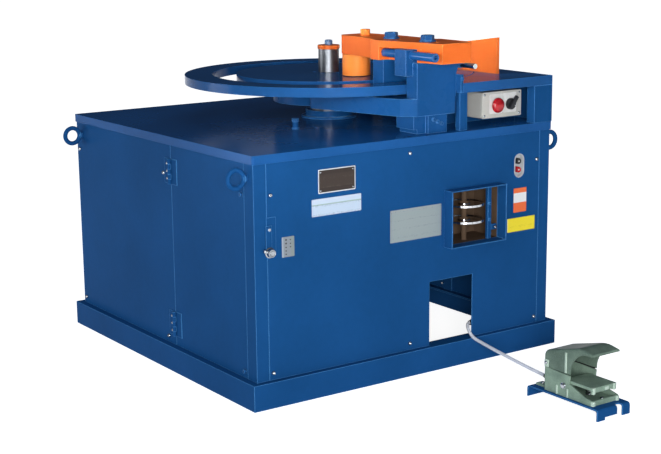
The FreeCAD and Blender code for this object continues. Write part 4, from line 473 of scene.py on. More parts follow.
def lathe(profile, segments=48):
    """A solid turned about Z from radii and heights in millimetres, in one round or from pole to pole."""
    solid = bmesh.new()
    rings = []
    for radius, height in profile:
        steps = steps_round(segments if radius else 1)
        places = [(radius * math.cos(step), radius * math.sin(step), height) for step in steps]
        rings.append([solid.verts.new(Vector(place) / 1000) for place in places])
    if profile[0][0]:
        rings.append(rings[0])
    skin(solid, rings)
    return solid


def block(low, high, edge):
    """A box between two corners in millimetres, with rounded edges."""
    solid = bmesh.new()
    bmesh.ops.create_cube(solid, size=1)
    for vertex in solid.verts:
        vertex.co = Vector([(low, high)[part > 0][axis] for axis, part in enumerate(vertex.co)]) / 1000
    bmesh.ops.bevel(solid, geom=solid.edges[:], offset=edge / 1000, segments=3, profile=0.5, affect="EDGES")
    return solid


def card(width, height, thickness, corner):
    """A plate in millimetres on the X-Y plane, its back at Z = 0, with rounded corners."""
    solid = bmesh.new()
    bmesh.ops.create_cube(solid, size=1)
    for vertex in solid.verts:
        x, y, z = vertex.co
        vertex.co = Vector((x * width, y * height, (z + 0.5) * thickness)) / 1000
    upright = [edge for edge in solid.edges if edge.calc_length() * 1000 < thickness * 1.01]
    bmesh.ops.bevel(solid, geom=upright, offset=corner / 1000, segments=5, profile=0.5, affect="EDGES")
    return solid


def spin(solid, degrees):
    """Turn a solid about Z."""
    bmesh.ops.rotate(solid, verts=solid.verts, matrix=Matrix.Rotation(math.radians(degrees), 3, "Z"))
    return solid


def put(solid, place, facing=UPWARDS):
    """Turn a solid's Z axis to a direction, and move it to its place."""
    turned = Vector(facing).to_track_quat("Z", "Y").to_matrix().to_4x4()
    bmesh.ops.transform(solid, matrix=Matrix.Translation(place) @ turned, verts=solid.verts)
    return solid


def settle(name, mesh, material, body, node=None):
    """Finish a piece: its shading, finish and body, and the node it takes over."""
    mesh.shade_smooth()
    mesh.set_sharp_from_angle(angle=SHARP_ANGLE)
    mesh.materials.clear()
    mesh.materials.append(material)
    piece = bpy.data.objects.new(name, mesh)
    bpy.context.scene.collection.objects.link(piece)
    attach(piece, body)
    if node:
        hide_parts(node)
    return piece


def build(name, solids, material, body, node=None, start=(0, 0, 0)):
    """One piece from several solids, which are moved together if they were made from another start."""
    whole = bmesh.new()
    for solid in solids:
        part = bpy.data.meshes.new("part")
        solid.to_mesh(part)
        solid.free()
        whole.from_mesh(part)
        bpy.data.meshes.remove(part)
    mesh = bpy.data.meshes.new(name)
    whole.to_mesh(mesh)
    whole.free()
    mesh.transform(Matrix.Translation(start))
    return settle(name, mesh, material, body, node)


print("makers ready")

# %% [markdown]
# ## A tree that sets screws
# Fourteen screws hold the panels, and more hold the door, the hinges and the boxes. They are one shape,
# so a Geometry Nodes tree makes it once: a flattened ball with its lower half cut off, a hexagon socket
# and a shank. The tree sets it on each point of a mesh and turns it to the direction that the point
# carries. A Realize Instances node turns the copies into real faces.

# %% Tree: screws on points


def new_tree(name, inputs, output):
    """A Geometry Nodes tree with its named inputs and its one output, and the sockets of those inputs."""
    tree = bpy.data.node_groups.new(name, "GeometryNodeTree")
    for socket_name, kind in inputs.items():
        tree.interface.new_socket(socket_name, in_out="INPUT", socket_type=f"NodeSocket{kind}")
    tree.interface.new_socket(output, in_out="OUTPUT", socket_type="NodeSocketGeometry")
    return tree, add(tree, "NodeGroupInput").outputs


screw_tree, given = new_tree("screws on points", {
    "Seats": "Geometry", "Head Radius": "Float", "Head Rise": "Float", "Shank Length": "Float",
    "Finish": "Material",
}, "Screws")

# The socket, the block that cuts the ball's lower half off, that block's place and the shank follow the head.
SOCKET_SHARE, CUTTER_SHARE, CUTTER_DROP, SHANK_SHARE = 0.45, 4.0, -2.0, 0.5
socket_radius, cutter_side, cutter_level, shank_radius = [
    add(screw_tree, "ShaderNodeMath", {0: given["Head Radius"], 1: share}, operation="MULTIPLY")
    for share in (SOCKET_SHARE, CUTTER_SHARE, CUTTER_DROP, SHANK_SHARE)
]
head_size = add(screw_tree, "ShaderNodeCombineXYZ", {
    "X": given["Head Radius"], "Y": given["Head Radius"], "Z": given["Head Rise"],
})
ball = add(screw_tree, "GeometryNodeMeshUVSphere", {"Segments": 32, "Rings": 16, "Radius": 1.0})
flat_ball = add(screw_tree, "GeometryNodeTransform", {"Geometry": ball, "Scale": head_size})
socket_middle = add(screw_tree, "ShaderNodeCombineXYZ", {"Z": given["Head Rise"]})
hexagon = add(screw_tree, "GeometryNodeMeshCylinder", {
    "Vertices": 6, "Radius": socket_radius, "Depth": given["Head Rise"],
})
hexagon_up = add(screw_tree, "GeometryNodeTransform", {"Geometry": hexagon, "Translation": socket_middle})
cutter_size = add(screw_tree, "ShaderNodeCombineXYZ", {"X": cutter_side, "Y": cutter_side, "Z": cutter_side})
cutter_middle = add(screw_tree, "ShaderNodeCombineXYZ", {"Z": cutter_level})
cutter = add(screw_tree, "GeometryNodeMeshCube", {"Size": cutter_size})
cutter_below = add(screw_tree, "GeometryNodeTransform", {"Geometry": cutter, "Translation": cutter_middle})
head = add(screw_tree, "GeometryNodeMeshBoolean", {
    "Mesh 1": flat_ball,
    "Mesh 2": (hexagon_up, cutter_below),
}, operation="DIFFERENCE")
half_shank = add(screw_tree, "ShaderNodeMath", {0: given["Shank Length"], 1: -0.5}, operation="MULTIPLY")
shank_middle = add(screw_tree, "ShaderNodeCombineXYZ", {"Z": half_shank})
shank = add(screw_tree, "GeometryNodeMeshCylinder", {
    "Vertices": 20, "Radius": shank_radius, "Depth": given["Shank Length"],
})
shank_down = add(screw_tree, "GeometryNodeTransform", {"Geometry": shank, "Translation": shank_middle})
screw = add(screw_tree, "GeometryNodeJoinGeometry", {"Geometry": (head, shank_down)})
direction = add(screw_tree, "GeometryNodeInputNamedAttribute", {"Name": "facing"}, data_type="FLOAT_VECTOR")
upright_turn = add(screw_tree, "FunctionNodeAlignRotationToVector", {"Vector": direction}, axis="Z")
set_screws = add(screw_tree, "GeometryNodeInstanceOnPoints", {
    "Points": given["Seats"], "Instance": screw,
    "Rotation": upright_turn,
})
real_screws = add(screw_tree, "GeometryNodeRealizeInstances", {"Geometry": set_screws})
plated_screws = add(screw_tree, "GeometryNodeSetMaterial", {
    "Geometry": real_screws, "Material": given["Finish"],
})
add(screw_tree, "NodeGroupOutput", {"Screws": plated_screws})
print("screw tree has", len(screw_tree.nodes), "nodes")

# %% [markdown]
# ## A tree that sets bars round a circle
# Knurls on knobs and graduations on dials are the same thing: a small bar, repeated at equal steps
# round a circle, each pointing away from the middle.

# %% Tree: bars round a circle
bar_tree, given = new_tree("bars round a circle", {
    "Seed": "Geometry", "Count": "Int", "Radius": "Float", "Bar": "Vector", "Finish": "Material",
}, "Bars")
circle = add(bar_tree, "GeometryNodeMeshCircle", {"Vertices": given["Count"], "Radius": given["Radius"]})
bar = add(bar_tree, "GeometryNodeMeshCube", {"Size": given["Bar"]})
outwards = add(bar_tree, "GeometryNodeInputPosition")
outward_turn = add(bar_tree, "FunctionNodeAlignRotationToVector", {"Vector": outwards}, axis="X")
set_bars = add(bar_tree, "GeometryNodeInstanceOnPoints", {
    "Points": circle, "Instance": bar,
    "Rotation": outward_turn,
})
real_bars = add(bar_tree, "GeometryNodeRealizeInstances", {"Geometry": set_bars})
finished_bars = add(bar_tree, "GeometryNodeSetMaterial", {
    "Geometry": real_bars, "Material": given["Finish"],
})
add(bar_tree, "NodeGroupOutput", {"Bars": finished_bars})
print("bar tree has", len(bar_tree.nodes), "nodes")

# %% [markdown]
# Three functions use the trees. The first runs a tree as a modifier and keeps the plain mesh that comes
# out. The second makes one piece of screws, and the third makes bars as a solid for a larger piece.

# %% Helpers that use the trees


def grow(tree, seeds, sizes):
    """The plain mesh that a tree makes from a seed mesh and values for its named inputs."""
    holder = bpy.data.objects.new("holder", seeds)
    bpy.context.scene.collection.objects.link(holder)
    modifier = holder.modifiers.new("grow", "NODES")
    modifier.node_group = tree
    for item in tree.interface.items_tree:
        if item.in_out == "INPUT" and item.name in sizes:
            modifier[item.identifier] = sizes[item.name]
    mesh = bpy.data.meshes.new_from_object(holder.evaluated_get(bpy.context.evaluated_depsgraph_get()))
    bpy.data.objects.remove(holder)
    return mesh


def fasten(name, places, radius_rise_shank, body="frame", node=None):
    """One piece of screws, from their places by the direction they face, and three sizes in metres."""
    seats = bpy.data.meshes.new("seats")
    seats.from_pydata([tuple(place) for spots in places.values() for place in spots], [], [])
    facings = [facing for facing, spots in places.items() for _ in spots]
    attribute = seats.attributes.new("facing", "FLOAT_VECTOR", "POINT")
    for item, facing in zip(attribute.data, facings):
        item.vector = facing
    sizes = dict(zip(("Head Radius", "Head Rise", "Shank Length"), radius_rise_shank), Finish=plated_steel)
    return settle(name, grow(screw_tree, seats, sizes), plated_steel, body, node)


def bars_round(centre, facing, count, radius_mm, bar_mm, material):
    """Bars round a circle as a solid: a bar's sizes are out from the middle, round it and along the axis."""
    mesh = grow(bar_tree, bpy.data.meshes.new("seed"), {
        "Count": count, "Radius": radius_mm / 1000, "Bar": [size / 1000 for size in bar_mm],
        "Finish": material,
    })
    solid = bmesh.new()
    solid.from_mesh(mesh)
    bpy.data.meshes.remove(mesh)
    return put(solid, centre, facing)


print("three helpers ready")

# %% [markdown]
# ## Screws of the cabinet
# The front panel is held by six screws, and the left door's fixed neighbour and the right panel by four
# each. The door has two, a little larger, and each hinge has three. The heads of the panel screws are
# domed, 12 mm wide and 7 mm high.

# %% Screws of the cabinet
PANEL_FRONT_Y = 20
PANEL_LEFT_X = 22
PANEL_RIGHT_X = 1085
SCREW_HEIGHTS = (589, 94)
SIDE_SCREWS = [(y, z) for y in (514, 1082) for z in SCREW_HEIGHTS]
FRONT_SCREWS = ((74.5, 589), (546, 655), (1032.5, 589), (74.5, 94), (546, 94), (1032.5, 94))
panel_screws = fasten("socket_screws_of_panels", {
    FRONTWARDS: [at(x, PANEL_FRONT_Y, z) for x, z in FRONT_SCREWS],
    LEFTWARDS: [at(PANEL_LEFT_X, y, z) for y, z in SIDE_SCREWS],
    RIGHTWARDS: [at(PANEL_RIGHT_X, y, z) for y, z in SIDE_SCREWS],
}, (0.006, 0.007, 0.014), node="panel_screws")
print("panel screw faces", len(panel_screws.data.polygons))

DOOR_SCREW_Y = 80
fasten("socket_screws_of_door", {
    LEFTWARDS: [at(PANEL_LEFT_X, DOOR_SCREW_Y, z) for z in SCREW_HEIGHTS],
}, (0.0066, 0.0078, 0.003), "left_door")

HINGE_LEVELS = (598, 140)
hinge_seats = [at(20, 488, level + offset) for level in HINGE_LEVELS for offset in (-22, 0, 22)]
fasten("socket_screws_of_hinges", {LEFTWARDS: hinge_seats}, (0.0042, 0.0045, 0.003))
print("hinge screws", len(hinge_seats))

# %% [markdown]
# Smaller screws of the same kind hold the lid of the control box. One larger screw sits on a tab inside
# the guard box and clamps the bar of the dials.

# %% Small screws
LID_SCREWS = [at(x, 60, z) for x in (857.8, 995) for z in (730, 792)]
fasten("small_socket_screws", {FRONTWARDS: LID_SCREWS}, (0.0036, 0.0022, 0.004))
build("tab_of_guard", [block((853, 17, 393), (874, 22, 410), 1.2)], blue_enamel, "frame",
      start=CORNER)
fasten("screw_of_guard", {FRONTWARDS: [at(866, 17, 401)]}, (0.0052, 0.007, 0.004))
print("lid screws", len(LID_SCREWS))

# %% [markdown]
# ## Plates and labels
# Each label is printed film on a thin plate. The film's print is made of plain bands, so its material is
# a ramp with hard steps along the plate: one value runs from 0 at its left or lower edge to 1 at the
# other edge. A second, fine pattern stands for small print that can't be read from here.

# %% Printed film
PRINT_PITCH_MM = 4.0
INK_STRENGTH = 0.7


def printed(name, axis, low, high, stops, ink, print_share):
    """Film with hard bands along X or Z, from low to high in metres, and specks in place of small print."""
    material, tree, place = new_material(name)
    parts = add(tree, "ShaderNodeSeparateXYZ", {"Vector": place})
    along = add(tree, "ShaderNodeMapRange", {"Value": parts.outputs[axis], "From Min": low, "From Max": high})
    bands = add(tree, "ShaderNodeValToRGB", {"Fac": along}, [
        (position, linear(colour)) for position, colour in stops
    ])
    bands.color_ramp.interpolation = "CONSTANT"
    rows = add(tree, "ShaderNodeTexWave", {
        "Vector": place, "Scale": 1000 / PRINT_PITCH_MM / WAVES_PER_SCALE,
    }, wave_type="BANDS", bands_direction="Z").outputs["Fac"]
    specks = add(tree, "ShaderNodeTexNoise", {"Vector": place, "Scale": 420.0, "Detail": 1.0})
    both = add(tree, "ShaderNodeMath", {0: rows, 1: specks}, operation="MULTIPLY")
    inked = add(tree, "ShaderNodeMath", {0: both, 1: 1 - print_share}, operation="GREATER_THAN")
    strength = add(tree, "ShaderNodeMath", {0: inked, 1: INK_STRENGTH}, operation="MULTIPLY")
    tone = add(tree, "ShaderNodeMix", {"Factor": strength, 6: bands, 7: linear(ink)}, data_type="RGBA")
    wear = add(tree, "ShaderNodeTexNoise", {"Vector": place, "Scale": 30.0, "Detail": 4.0})
    uneven = add(tree, "ShaderNodeMapRange", {"Value": wear, "To Min": 0.28, "To Max": 0.45})
    shader = add(tree, "ShaderNodeBsdfPrincipled", {
        "Base Color": tone.outputs[2], "Roughness": uneven, "Specular IOR Level": 0.3,
    })
    add(tree, "ShaderNodeOutputMaterial", {"Surface": shader})
    return material


PLATE_MM = 0.8
LABEL_CORNER_MM = 2.0
NAME_PLATE_RISE_MM = 0.25
LABELS = {
    # left, right, low, high, axis of the bands, their stops, ink, share of the film under print
    "white_film_label": (208, 374, 512, 560, "Z", [(0, "#bccde0"), (0.62, "#98b0aa"), (0.68, "#c0d0e2")],
                         "#6f8498", 0.42),
    "grey_film_label": (476, 662, 402, 496, "X", [(0, "#8b979a"), (0.03, "#939fa1"), (0.97, "#8b979a")],
                        "#4a565c", 0.36),
    "latch_film_label": (109, 149, 413, 469, "X", [(0, "#9ca8b4"), (0.12, "#868d95"), (0.7, "#828e8e")],
                         "#6c7478", 0.30),
    "orange_film_label": (943, 994, 433, 507, "Z", [(0, "#f0703c"), (0.40, "#eef0f2"), (0.80, "#ee7440")],
                          "#8a5440", 0.32),
    "yellow_film_label": (919, 1030, 374, 416, "X", [(0, "#f2ee9a"), (0.02, "#f4e032"), (0.98, "#d8c62c")],
                          "#8f8420", 0.36),
    "name_plate_film": (233, 352, 577, 638, "Z", [(0, "#332a26"), (0.2, "#3a302b"), (0.8, "#332a26")],
                        "#8d8680", 0.33),
}
for name, (left, right_edge, low, high, axis, stops, ink, share) in LABELS.items():
    run = (left, right_edge) if axis == "X" else (low, high)
    origin = CORNER[0] if axis == "X" else CORNER[2]
    band_start, band_end = (origin + edge / 1000 for edge in run)
    film = printed(name.replace("_", " "), axis, band_start, band_end, stops, ink, share)
    raised = NAME_PLATE_RISE_MM if name == "name_plate_film" else 0
    plate = card(right_edge - left, high - low, PLATE_MM + raised, LABEL_CORNER_MM)
    put(plate, at((left + right_edge) / 2, PANEL_FRONT_Y, (low + high) / 2), FRONTWARDS)
    build(name, [plate], film, "frame", "label_plates")
print("film labels", len(LABELS))

# %% Round marks on the label beside the latch
MARK_RISE_MM = 0.2
MARK_COLUMNS = (
    # x, radius, heights
    (122.3, 2.6, (460.7, 450.8)), (122.1, 2.0, (440.2, 430.2, 421.0)), (136.4, 1.9, (460.1, 449.5, 440.2)),
)
label_marks = [
    put(lathe([(0, 0), (radius, 0), (radius, MARK_RISE_MM), (0, MARK_RISE_MM)], 20),
        at(x, PANEL_FRONT_Y - PLATE_MM, z), FRONTWARDS)
    for x, radius, heights in MARK_COLUMNS for z in heights
]
print("marks", len(label_marks))
build("marks_of_latch_label", label_marks, black_plastic, "frame")

# %% [markdown]
# The name plate is a bright metal plate whose rim shows round the dark film, with a rivet in each
# corner. The legends under the two switches are white plastic with a round hole for the stem.

# %% Name plate and legends
name_plate = put(card(125, 67, PLATE_MM, 2.5), at(292.5, PANEL_FRONT_Y, 607.5), FRONTWARDS)
build("name_plate_metal", [name_plate], chrome, "frame", "label_plates")
fasten("name_plate_rivets", {
    FRONTWARDS: [at(x, PANEL_FRONT_Y - PLATE_MM, z) for x in (238, 347) for z in (582, 633)],
}, (0.0028, 0.0014, 0.001), node="label_plates")

STOP_X = 903
SELECTOR_X = 957
LEGEND_HOLE_RADIUS = 8.3
LEGEND_HALF_WIDTH = 26.1
LEGEND_HALF_HEIGHT = 29.6


def legend(x):
    """A square plate with a round hole, from rings that go from the hole out to the square and back."""
    solid = bmesh.new()
    loops = []
    for height in (0, PLATE_MM):
        hole, rim = [], []
        for step in steps_round(64):
            along, across = math.cos(step), math.sin(step)
            reach = max(abs(along) / LEGEND_HALF_WIDTH, abs(across) / LEGEND_HALF_HEIGHT)
            hole.append((LEGEND_HOLE_RADIUS * along, LEGEND_HOLE_RADIUS * across, height))
            rim.append((along / reach, across / reach, height))
        loops.append([[solid.verts.new(Vector(place) / 1000) for place in loop] for loop in (hole, rim)])
    (low_hole, low_rim), (high_hole, high_rim) = loops
    skin(solid, (low_hole, high_hole, high_rim, low_rim, low_hole))
    bmesh.ops.recalc_face_normals(solid, faces=solid.faces)
    return put(solid, at(x, 60, 764), FRONTWARDS)


build("switch_legends", [legend(STOP_X), legend(SELECTOR_X)], white_plastic, "frame",
      "label_plates")
print("legends 2")

# %% [markdown]
# ## Switches on the control box
# The stop button is a red mushroom with a domed head that overhangs its stem. The selector has a round
# base with a white mark, and a lever that points up and to the right.

# %% Stop button and selector
mushroom = lathe([
    (0, 0), (8, 0), (8, 16.6), (15, 16.8), (20.8, 17.2), (22.5, 18.6), (22.5, 21), (21.6, 23.6), (19, 26.6),
    (15, 29.4), (10, 31.3), (5, 32.2), (0, 32.3),
])
build("mushroom_head", [put(mushroom, at(STOP_X, 70, 760), FRONTWARDS)], red_plastic, "stop_button",
      "stop_button")

LEVER_TILT = 35
selector_place = at(SELECTOR_X, 70, 760)
selector_base = lathe([
    (0, 0), (8, 0), (8, 11.1), (16.4, 11.1), (17, 11.7), (17, 19.6), (16.2, 21.1), (0, 21.1),
])
lever = spin(block((-5.5, -16, 21.1), (5.5, 28, 31.1), 2.2), -LEVER_TILT)
mark = spin(block((-1.1, -6.5, 20.6), (1.1, 6.5, 21.6), 0.3), LEVER_TILT)
bmesh.ops.translate(mark, verts=mark.verts, vec=Vector((9.5, -1.5, 0)) / 1000)
build("selector_lever", [put(solid, selector_place, FRONTWARDS) for solid in (selector_base, lever)],
      black_plastic, "selector_knob", "selector_knob")
build("selector_mark", [put(mark, selector_place, FRONTWARDS)], white_plastic, "selector_knob",
      "selector_knob")
print("stop button and selector at", STOP_X, SELECTOR_X)

# %% Buttons of the station
STATION_X = 963
STATION_Y = 46.7
for button, body, z, plastic, slot in (
    ("black_push_cap", "start_button", 589, black_plastic, "black_plastic"),
    ("red_push_cap", "power_off_button", 563, red_plastic, "red_plastic"),
):
    seat = at(STATION_X, STATION_Y, z)
    cap = lathe([(0, 0), (9, 0), (9, 25.6), (8.4, 26.8), (7.2, 27.4), (6.6, 26.9), (3.5, 26.4), (0, 26.3)])
    spot = lathe([(0, 26.2), (2.4, 26.2), (2.4, 26.8), (0, 26.8)], 24)
    build(button, [put(cap, seat, FRONTWARDS)], plastic, body, body)
    build(f"spot_of_{button}", [put(spot, seat, FRONTWARDS)], white_plastic, body)
print("caps follow their bodies")

# %% [markdown]
# ## Bolts and knobs
# Two large hexagon bolts clamp the roller arm on the swing arm. A real bolt head is turned after it is
# forged, so its corners are cut by a cone: each ring of the head below reaches only as far as its limit.

# %% Clamp bolts
HEAD_RADIUS, HEAD_LOW, HEAD_HIGH = 20, 966.6, 981.6
WASHER_RADIUS, WASHER_LOW = 24, 962.6
SHANK_RADIUS, SHANK_LOW = 12, 865
BOLT_PLACES = ((645, 65), (633, 220))
APOTHEM = HEAD_RADIUS * math.cos(math.pi / 6)
CHAMFER = HEAD_RADIUS * 0.10


def hexagon_ring(solid, height, limit):
    """Points of the hexagon at a height, none of them farther out than the limit."""
    ring = []
    for step in steps_round(48):
        from_flat = (step + math.pi / 6) % (math.pi / 3) - math.pi / 6
        reach = min(APOTHEM / math.cos(from_flat), limit)
        ring.append(solid.verts.new(Vector((reach * math.cos(step), reach * math.sin(step), height)) / 1000))
    return ring


def hexagon_head():
    """The chamfered head about Z."""
    solid = bmesh.new()
    rings = [hexagon_ring(solid, height, limit) for height, limit in (
        (HEAD_LOW, HEAD_RADIUS), (HEAD_HIGH - CHAMFER * 0.55, HEAD_RADIUS),
        (HEAD_HIGH - CHAMFER * 0.3, (HEAD_RADIUS + APOTHEM) / 2), (HEAD_HIGH, APOTHEM * 0.97),
    )]
    skin(solid, rings)
    solid.faces.new(rings[-1])
    solid.faces.new(list(reversed(rings[0])))
    return solid


clamp_solids = []
for x, y in BOLT_PLACES:
    washer = lathe([
        (0, WASHER_LOW), (WASHER_RADIUS - 0.6, WASHER_LOW), (WASHER_RADIUS, WASHER_LOW + 0.6),
        (WASHER_RADIUS, HEAD_LOW - 0.6), (WASHER_RADIUS - 0.6, HEAD_LOW), (0, HEAD_LOW),
    ])
    shank = lathe([
        (0, SHANK_LOW), (SHANK_RADIUS - 1, SHANK_LOW), (SHANK_RADIUS, SHANK_LOW + 1),
        (SHANK_RADIUS, WASHER_LOW), (0, WASHER_LOW),
    ])
    clamp_solids += [put(solid, at(x, y, 0)) for solid in (hexagon_head(), washer, shank)]
build("chamfered_clamp_bolts", clamp_solids, cast_blue_enamel, "swing", "clamp_bolts")
print("clamp bolts", len(BOLT_PLACES))

# %% Latch knob and head of the latch's pivot
KNOB_PLACE = at(66, 15.4, 434)
knob_body = lathe([
    (0, 12.5), (3.55, 12.5), (3.55, 0), (13.5, 0), (14.5, 1), (14.5, 3.5), (12.2, 5), (11.5, 15), (10.5, 16),
    (8.8, 16), (8.0, 14.6), (6.6, 14.6), (5.8, 16), (0, 16),
])
wing = spin(block((-23.5, -4.5, 2), (-11, 4.5, 12), 2.0), -20)
knurl_place = KNOB_PLACE + Vector((0, -0.00225, 0))
knurl = bars_round(knurl_place, FRONTWARDS, 40, 14.4, (0.8, 0.9, 2.4), plated_steel)
knob_parts = [put(knob_body, KNOB_PLACE, FRONTWARDS), put(wing, KNOB_PLACE, FRONTWARDS), knurl]
build("knurled_latch_knob", knob_parts, plated_steel, "latch_knob", "latch_knob")

pivot_head = lathe([(0, 0), (6, 0), (6, 1), (5, 1.4), (5, 3.8), (3.8, 4.8), (0, 5)], 32)
build("head_of_latch_pivot", [put(pivot_head, at(66, 15.7, 497), FRONTWARDS)], plated_steel, "latch_strap")
print("latch knob at", [round(value, 4) for value in KNOB_PLACE])

# %% [markdown]
# The centre pin ends in a cap that is painted orange, with a small bright knob on top. The pin is one
# turned piece in the CAD; here it becomes three, so that each has its own finish and rounded rims.

# %% Centre pin, cap and knob
CENTRE = at(632, 543, 0)
for name, finish, slot, segments, profile in (
    ("centre_pin", turned_steel, "bright_steel", 64, [
        (0, 508), (88, 508), (88, 520), (36, 520), (36, 806), (54, 806), (54, 813), (14.95, 813),
        (14.95, 912), (0, 912),
    ]),
    ("painted_cap", orange_enamel, "orange_paint", 64, [
        (0, 912), (34.2, 912), (35, 912.8), (35, 922.8), (33.6, 924), (0, 924),
    ]),
    ("centre_knob", knob_plastic, "bright_steel", 48, [
        (0, 924), (10.8, 924), (11.4, 925), (12.5, 926.2), (12.5, 936.4), (11.4, 938.8), (8.6, 939.8),
        (0, 940),
    ]),
):
    build(name, [put(lathe(profile, segments), CENTRE)], finish, "frame", "centre_post")
print("centre pin in three pieces")

# %% Knurl of the oil cap and graduations of the dials
oil_knurl = bars_round(at(388, 368, 727), UPWARDS, 30, 10.4, (0.6, 0.9, 8), cast_blue_enamel)
build("knurl_of_oil_cap", [oil_knurl], cast_blue_enamel, "frame")

DIAL_RIM_RADIUS = 59.9
for body, z in (("angle_dial_lower", 428), ("angle_dial_upper", 477)):
    dial_middle = at(778, 55, z)
    fine = bars_round(dial_middle, UPWARDS, 120, DIAL_RIM_RADIUS, (0.6, 0.6, 2.6), black_plastic)
    coarse = bars_round(dial_middle, UPWARDS, 24, DIAL_RIM_RADIUS, (0.7, 1.1, 4.6), black_plastic)
    build(f"graduations_{body}", [fine, coarse], black_plastic, body)
print("dials marked every 3 degrees")

# %% [markdown]
# ## Details of the foot switch
# The casting has short ribs beside the pivot bolt, beads down the corners of its case, a screwed lug at
# the rear of each cheek, and bosses at its nose and under the pedal's lip. These take a lighter enamel, a
# painted highlight on their rounded edges. The pivot bolt has domed nuts with washers. A black strip
# inside the seam between base and hood is painted shade where the seam would let light through. The coil
# under the pedal is rebuilt from the frame's coil with its doubled points merged.

# %% Foot switch fasteners
WALL_LEFT_X = 699
WALL_RIGHT_X = 801
PIVOT_Y = -462
PIVOT_Z = 63
pivot_parts = [
    put(lathe([(0, 0), (5, 0), (5, 102), (0, 102)], 32), at(WALL_LEFT_X, PIVOT_Y, PIVOT_Z), RIGHTWARDS),
]
for x, facing in ((WALL_LEFT_X, LEFTWARDS), (WALL_RIGHT_X, RIGHTWARDS)):
    nut = lathe([(0, 0), (9, 0), (9, 1.4), (7.6, 1.4), (7.6, 3.2), (6.9, 4.6), (4.8, 5.6), (0, 6)], 32)
    pivot_parts.append(put(nut, at(x, PIVOT_Y, PIVOT_Z), facing))
build("pivot_bolt", pivot_parts, plated_steel, "frame", "foot_switch_fasteners")
fasten("foot_switch_screws", {
    UPWARDS: [at(752, -556, 41), at(722, -357, 38), at(778, -357, 38)],
    LEFTWARDS: [at(696, -396, 112)],
    RIGHTWARDS: [at(804, -396, 112)],
}, (0.005, 0.005, 0.004), node="foot_switch_fasteners")
print("pivot bolt in", len(pivot_parts), "parts")

# %% Spring under the pedal
coil = bmesh.new()
coil.from_mesh(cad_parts["pedal_spring"].data)
bmesh.ops.remove_doubles(coil, verts=coil.verts, dist=0.000001)
pedal_coil = build("coil_of_pedal", [coil], turned_steel, "frame", "pedal_spring")
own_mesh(pedal_coil)
print("coil points", len(pedal_coil.data.vertices))

# %% Cast details of the foot switch


def beside(wall, side, depth, low, high, inwards=1.0, edge=1.2):
    """A block on the outside of a wall: how far it stands out, and its low and high corners in Y and Z."""
    near, far = sorted((wall - inwards * side, wall + depth * side))
    return block((near, *low), (far, *high), edge)


cast_parts = []
seam_shade_strips = []
for side, wall in ((-1, WALL_LEFT_X), (1, WALL_RIGHT_X)):
    for y in (-479, -438):
        cast_parts.append(beside(wall, side, 3.5, (y - 2.5, 33), (y + 2.5, 58), edge=1.4))
    cast_parts.append(beside(wall, side, 2.2, (-474, 99.8), (-466, 158), inwards=1.5, edge=1.8))
    cast_parts.append(beside(wall, side, 3.0, (-404, 100), (-389, 121)))
    nose_boss = lathe([(0, 0), (7, 0), (7, 11), (5.5, 12.6), (0, 13)], 28)
    cast_parts.append(put(nose_boss, Vector((wall - 7 * side, -568, 32)) / 1000))
    shade_strip_near, shade_strip_far = sorted((wall - 2.5 * side, wall - 6.5 * side))
    seam_shade_strips.append(block((shade_strip_near, -484, 98.1), (shade_strip_far, -388, 100.5), 0.4))
# The lighter enamel of these details is a painted highlight on their rounded edges.
build("cast_details_of_base", cast_parts, highlight_hammer_enamel, "frame", start=CORNER)
# The black strips seen through the seam are painted shade.
build("shade_strip_of_hood_seam", seam_shade_strips, seam_shade_black, "frame", start=CORNER)
lip_parts = [
    put(lathe([(0, 0), (5.4, 0), (6.4, 1), (6.4, 17), (5.6, 18), (0, 18)], 28),
        Vector((x, -561.5, 62)) / 1000)
    for x in (711.8, 788.2)
]
lip_parts.append(block((752, -567.5, 67), (766, -560, 77), 1.5))
# The bosses of the pedal also take the lighter enamel as a painted highlight.
build("bosses_of_pedal", lip_parts, highlight_hammer_enamel, "pedal", start=CORNER)
print("foot switch details ready")

# %% [markdown]
# ## Strain reliefs
# A cord needs a soft sleeve where it leaves a housing, or it breaks there. Each sleeve is a tapered tube
# round the cord with a few ribs.

# %% Strain reliefs
RIBS = 4
BORE_PLAY_MM = 0.15


def sleeve(length, base_radius, tip_radius):
    """A tapered, ribbed tube about Z that the cord passes through; lengths in millimetres."""
    bore = CORD_DIAMETER * 1000 / 2 + BORE_PLAY_MM
    profile = [(bore, 0), (base_radius, 0)]
    for index in range(RIBS):
        start = length * (index + 0.3) / (RIBS + 0.6)
        crest = base_radius + (tip_radius - base_radius) * start / length
        profile += [
            (crest, start), (crest - 0.9, start + 1.0),
            (crest - 0.9, start + 2.2), (crest - 0.2, start + 3.2),
        ]
    profile += [(tip_radius, length), (bore, length)]
    return lathe(profile, 32)


for name, sizes, end, towards in (
    ("strain_relief_of_switch", (26, 9.5, 6.4), cord_points[-1], cord_points[-2]),
    ("strain_relief_of_clamp", (12, 9.0, 6.6), cord_points[0], cord_points[1]),
):
    relief = put(sleeve(*sizes), end, (towards - end).normalized())
    build(name, [relief], black_plastic, "frame")
print("sleeves 2")

# %% [markdown]
# ## Floor, backdrop and light
# The machine stands in a white studio. Camera, glossy and transmission rays see the floor as white
# through Light Path, so metal and gloss paint mirror the white too. Every other ray sees plain paper,
# which keeps the machine's shadow. The glow that makes it white is weak enough to leave the contact
# shadow in.

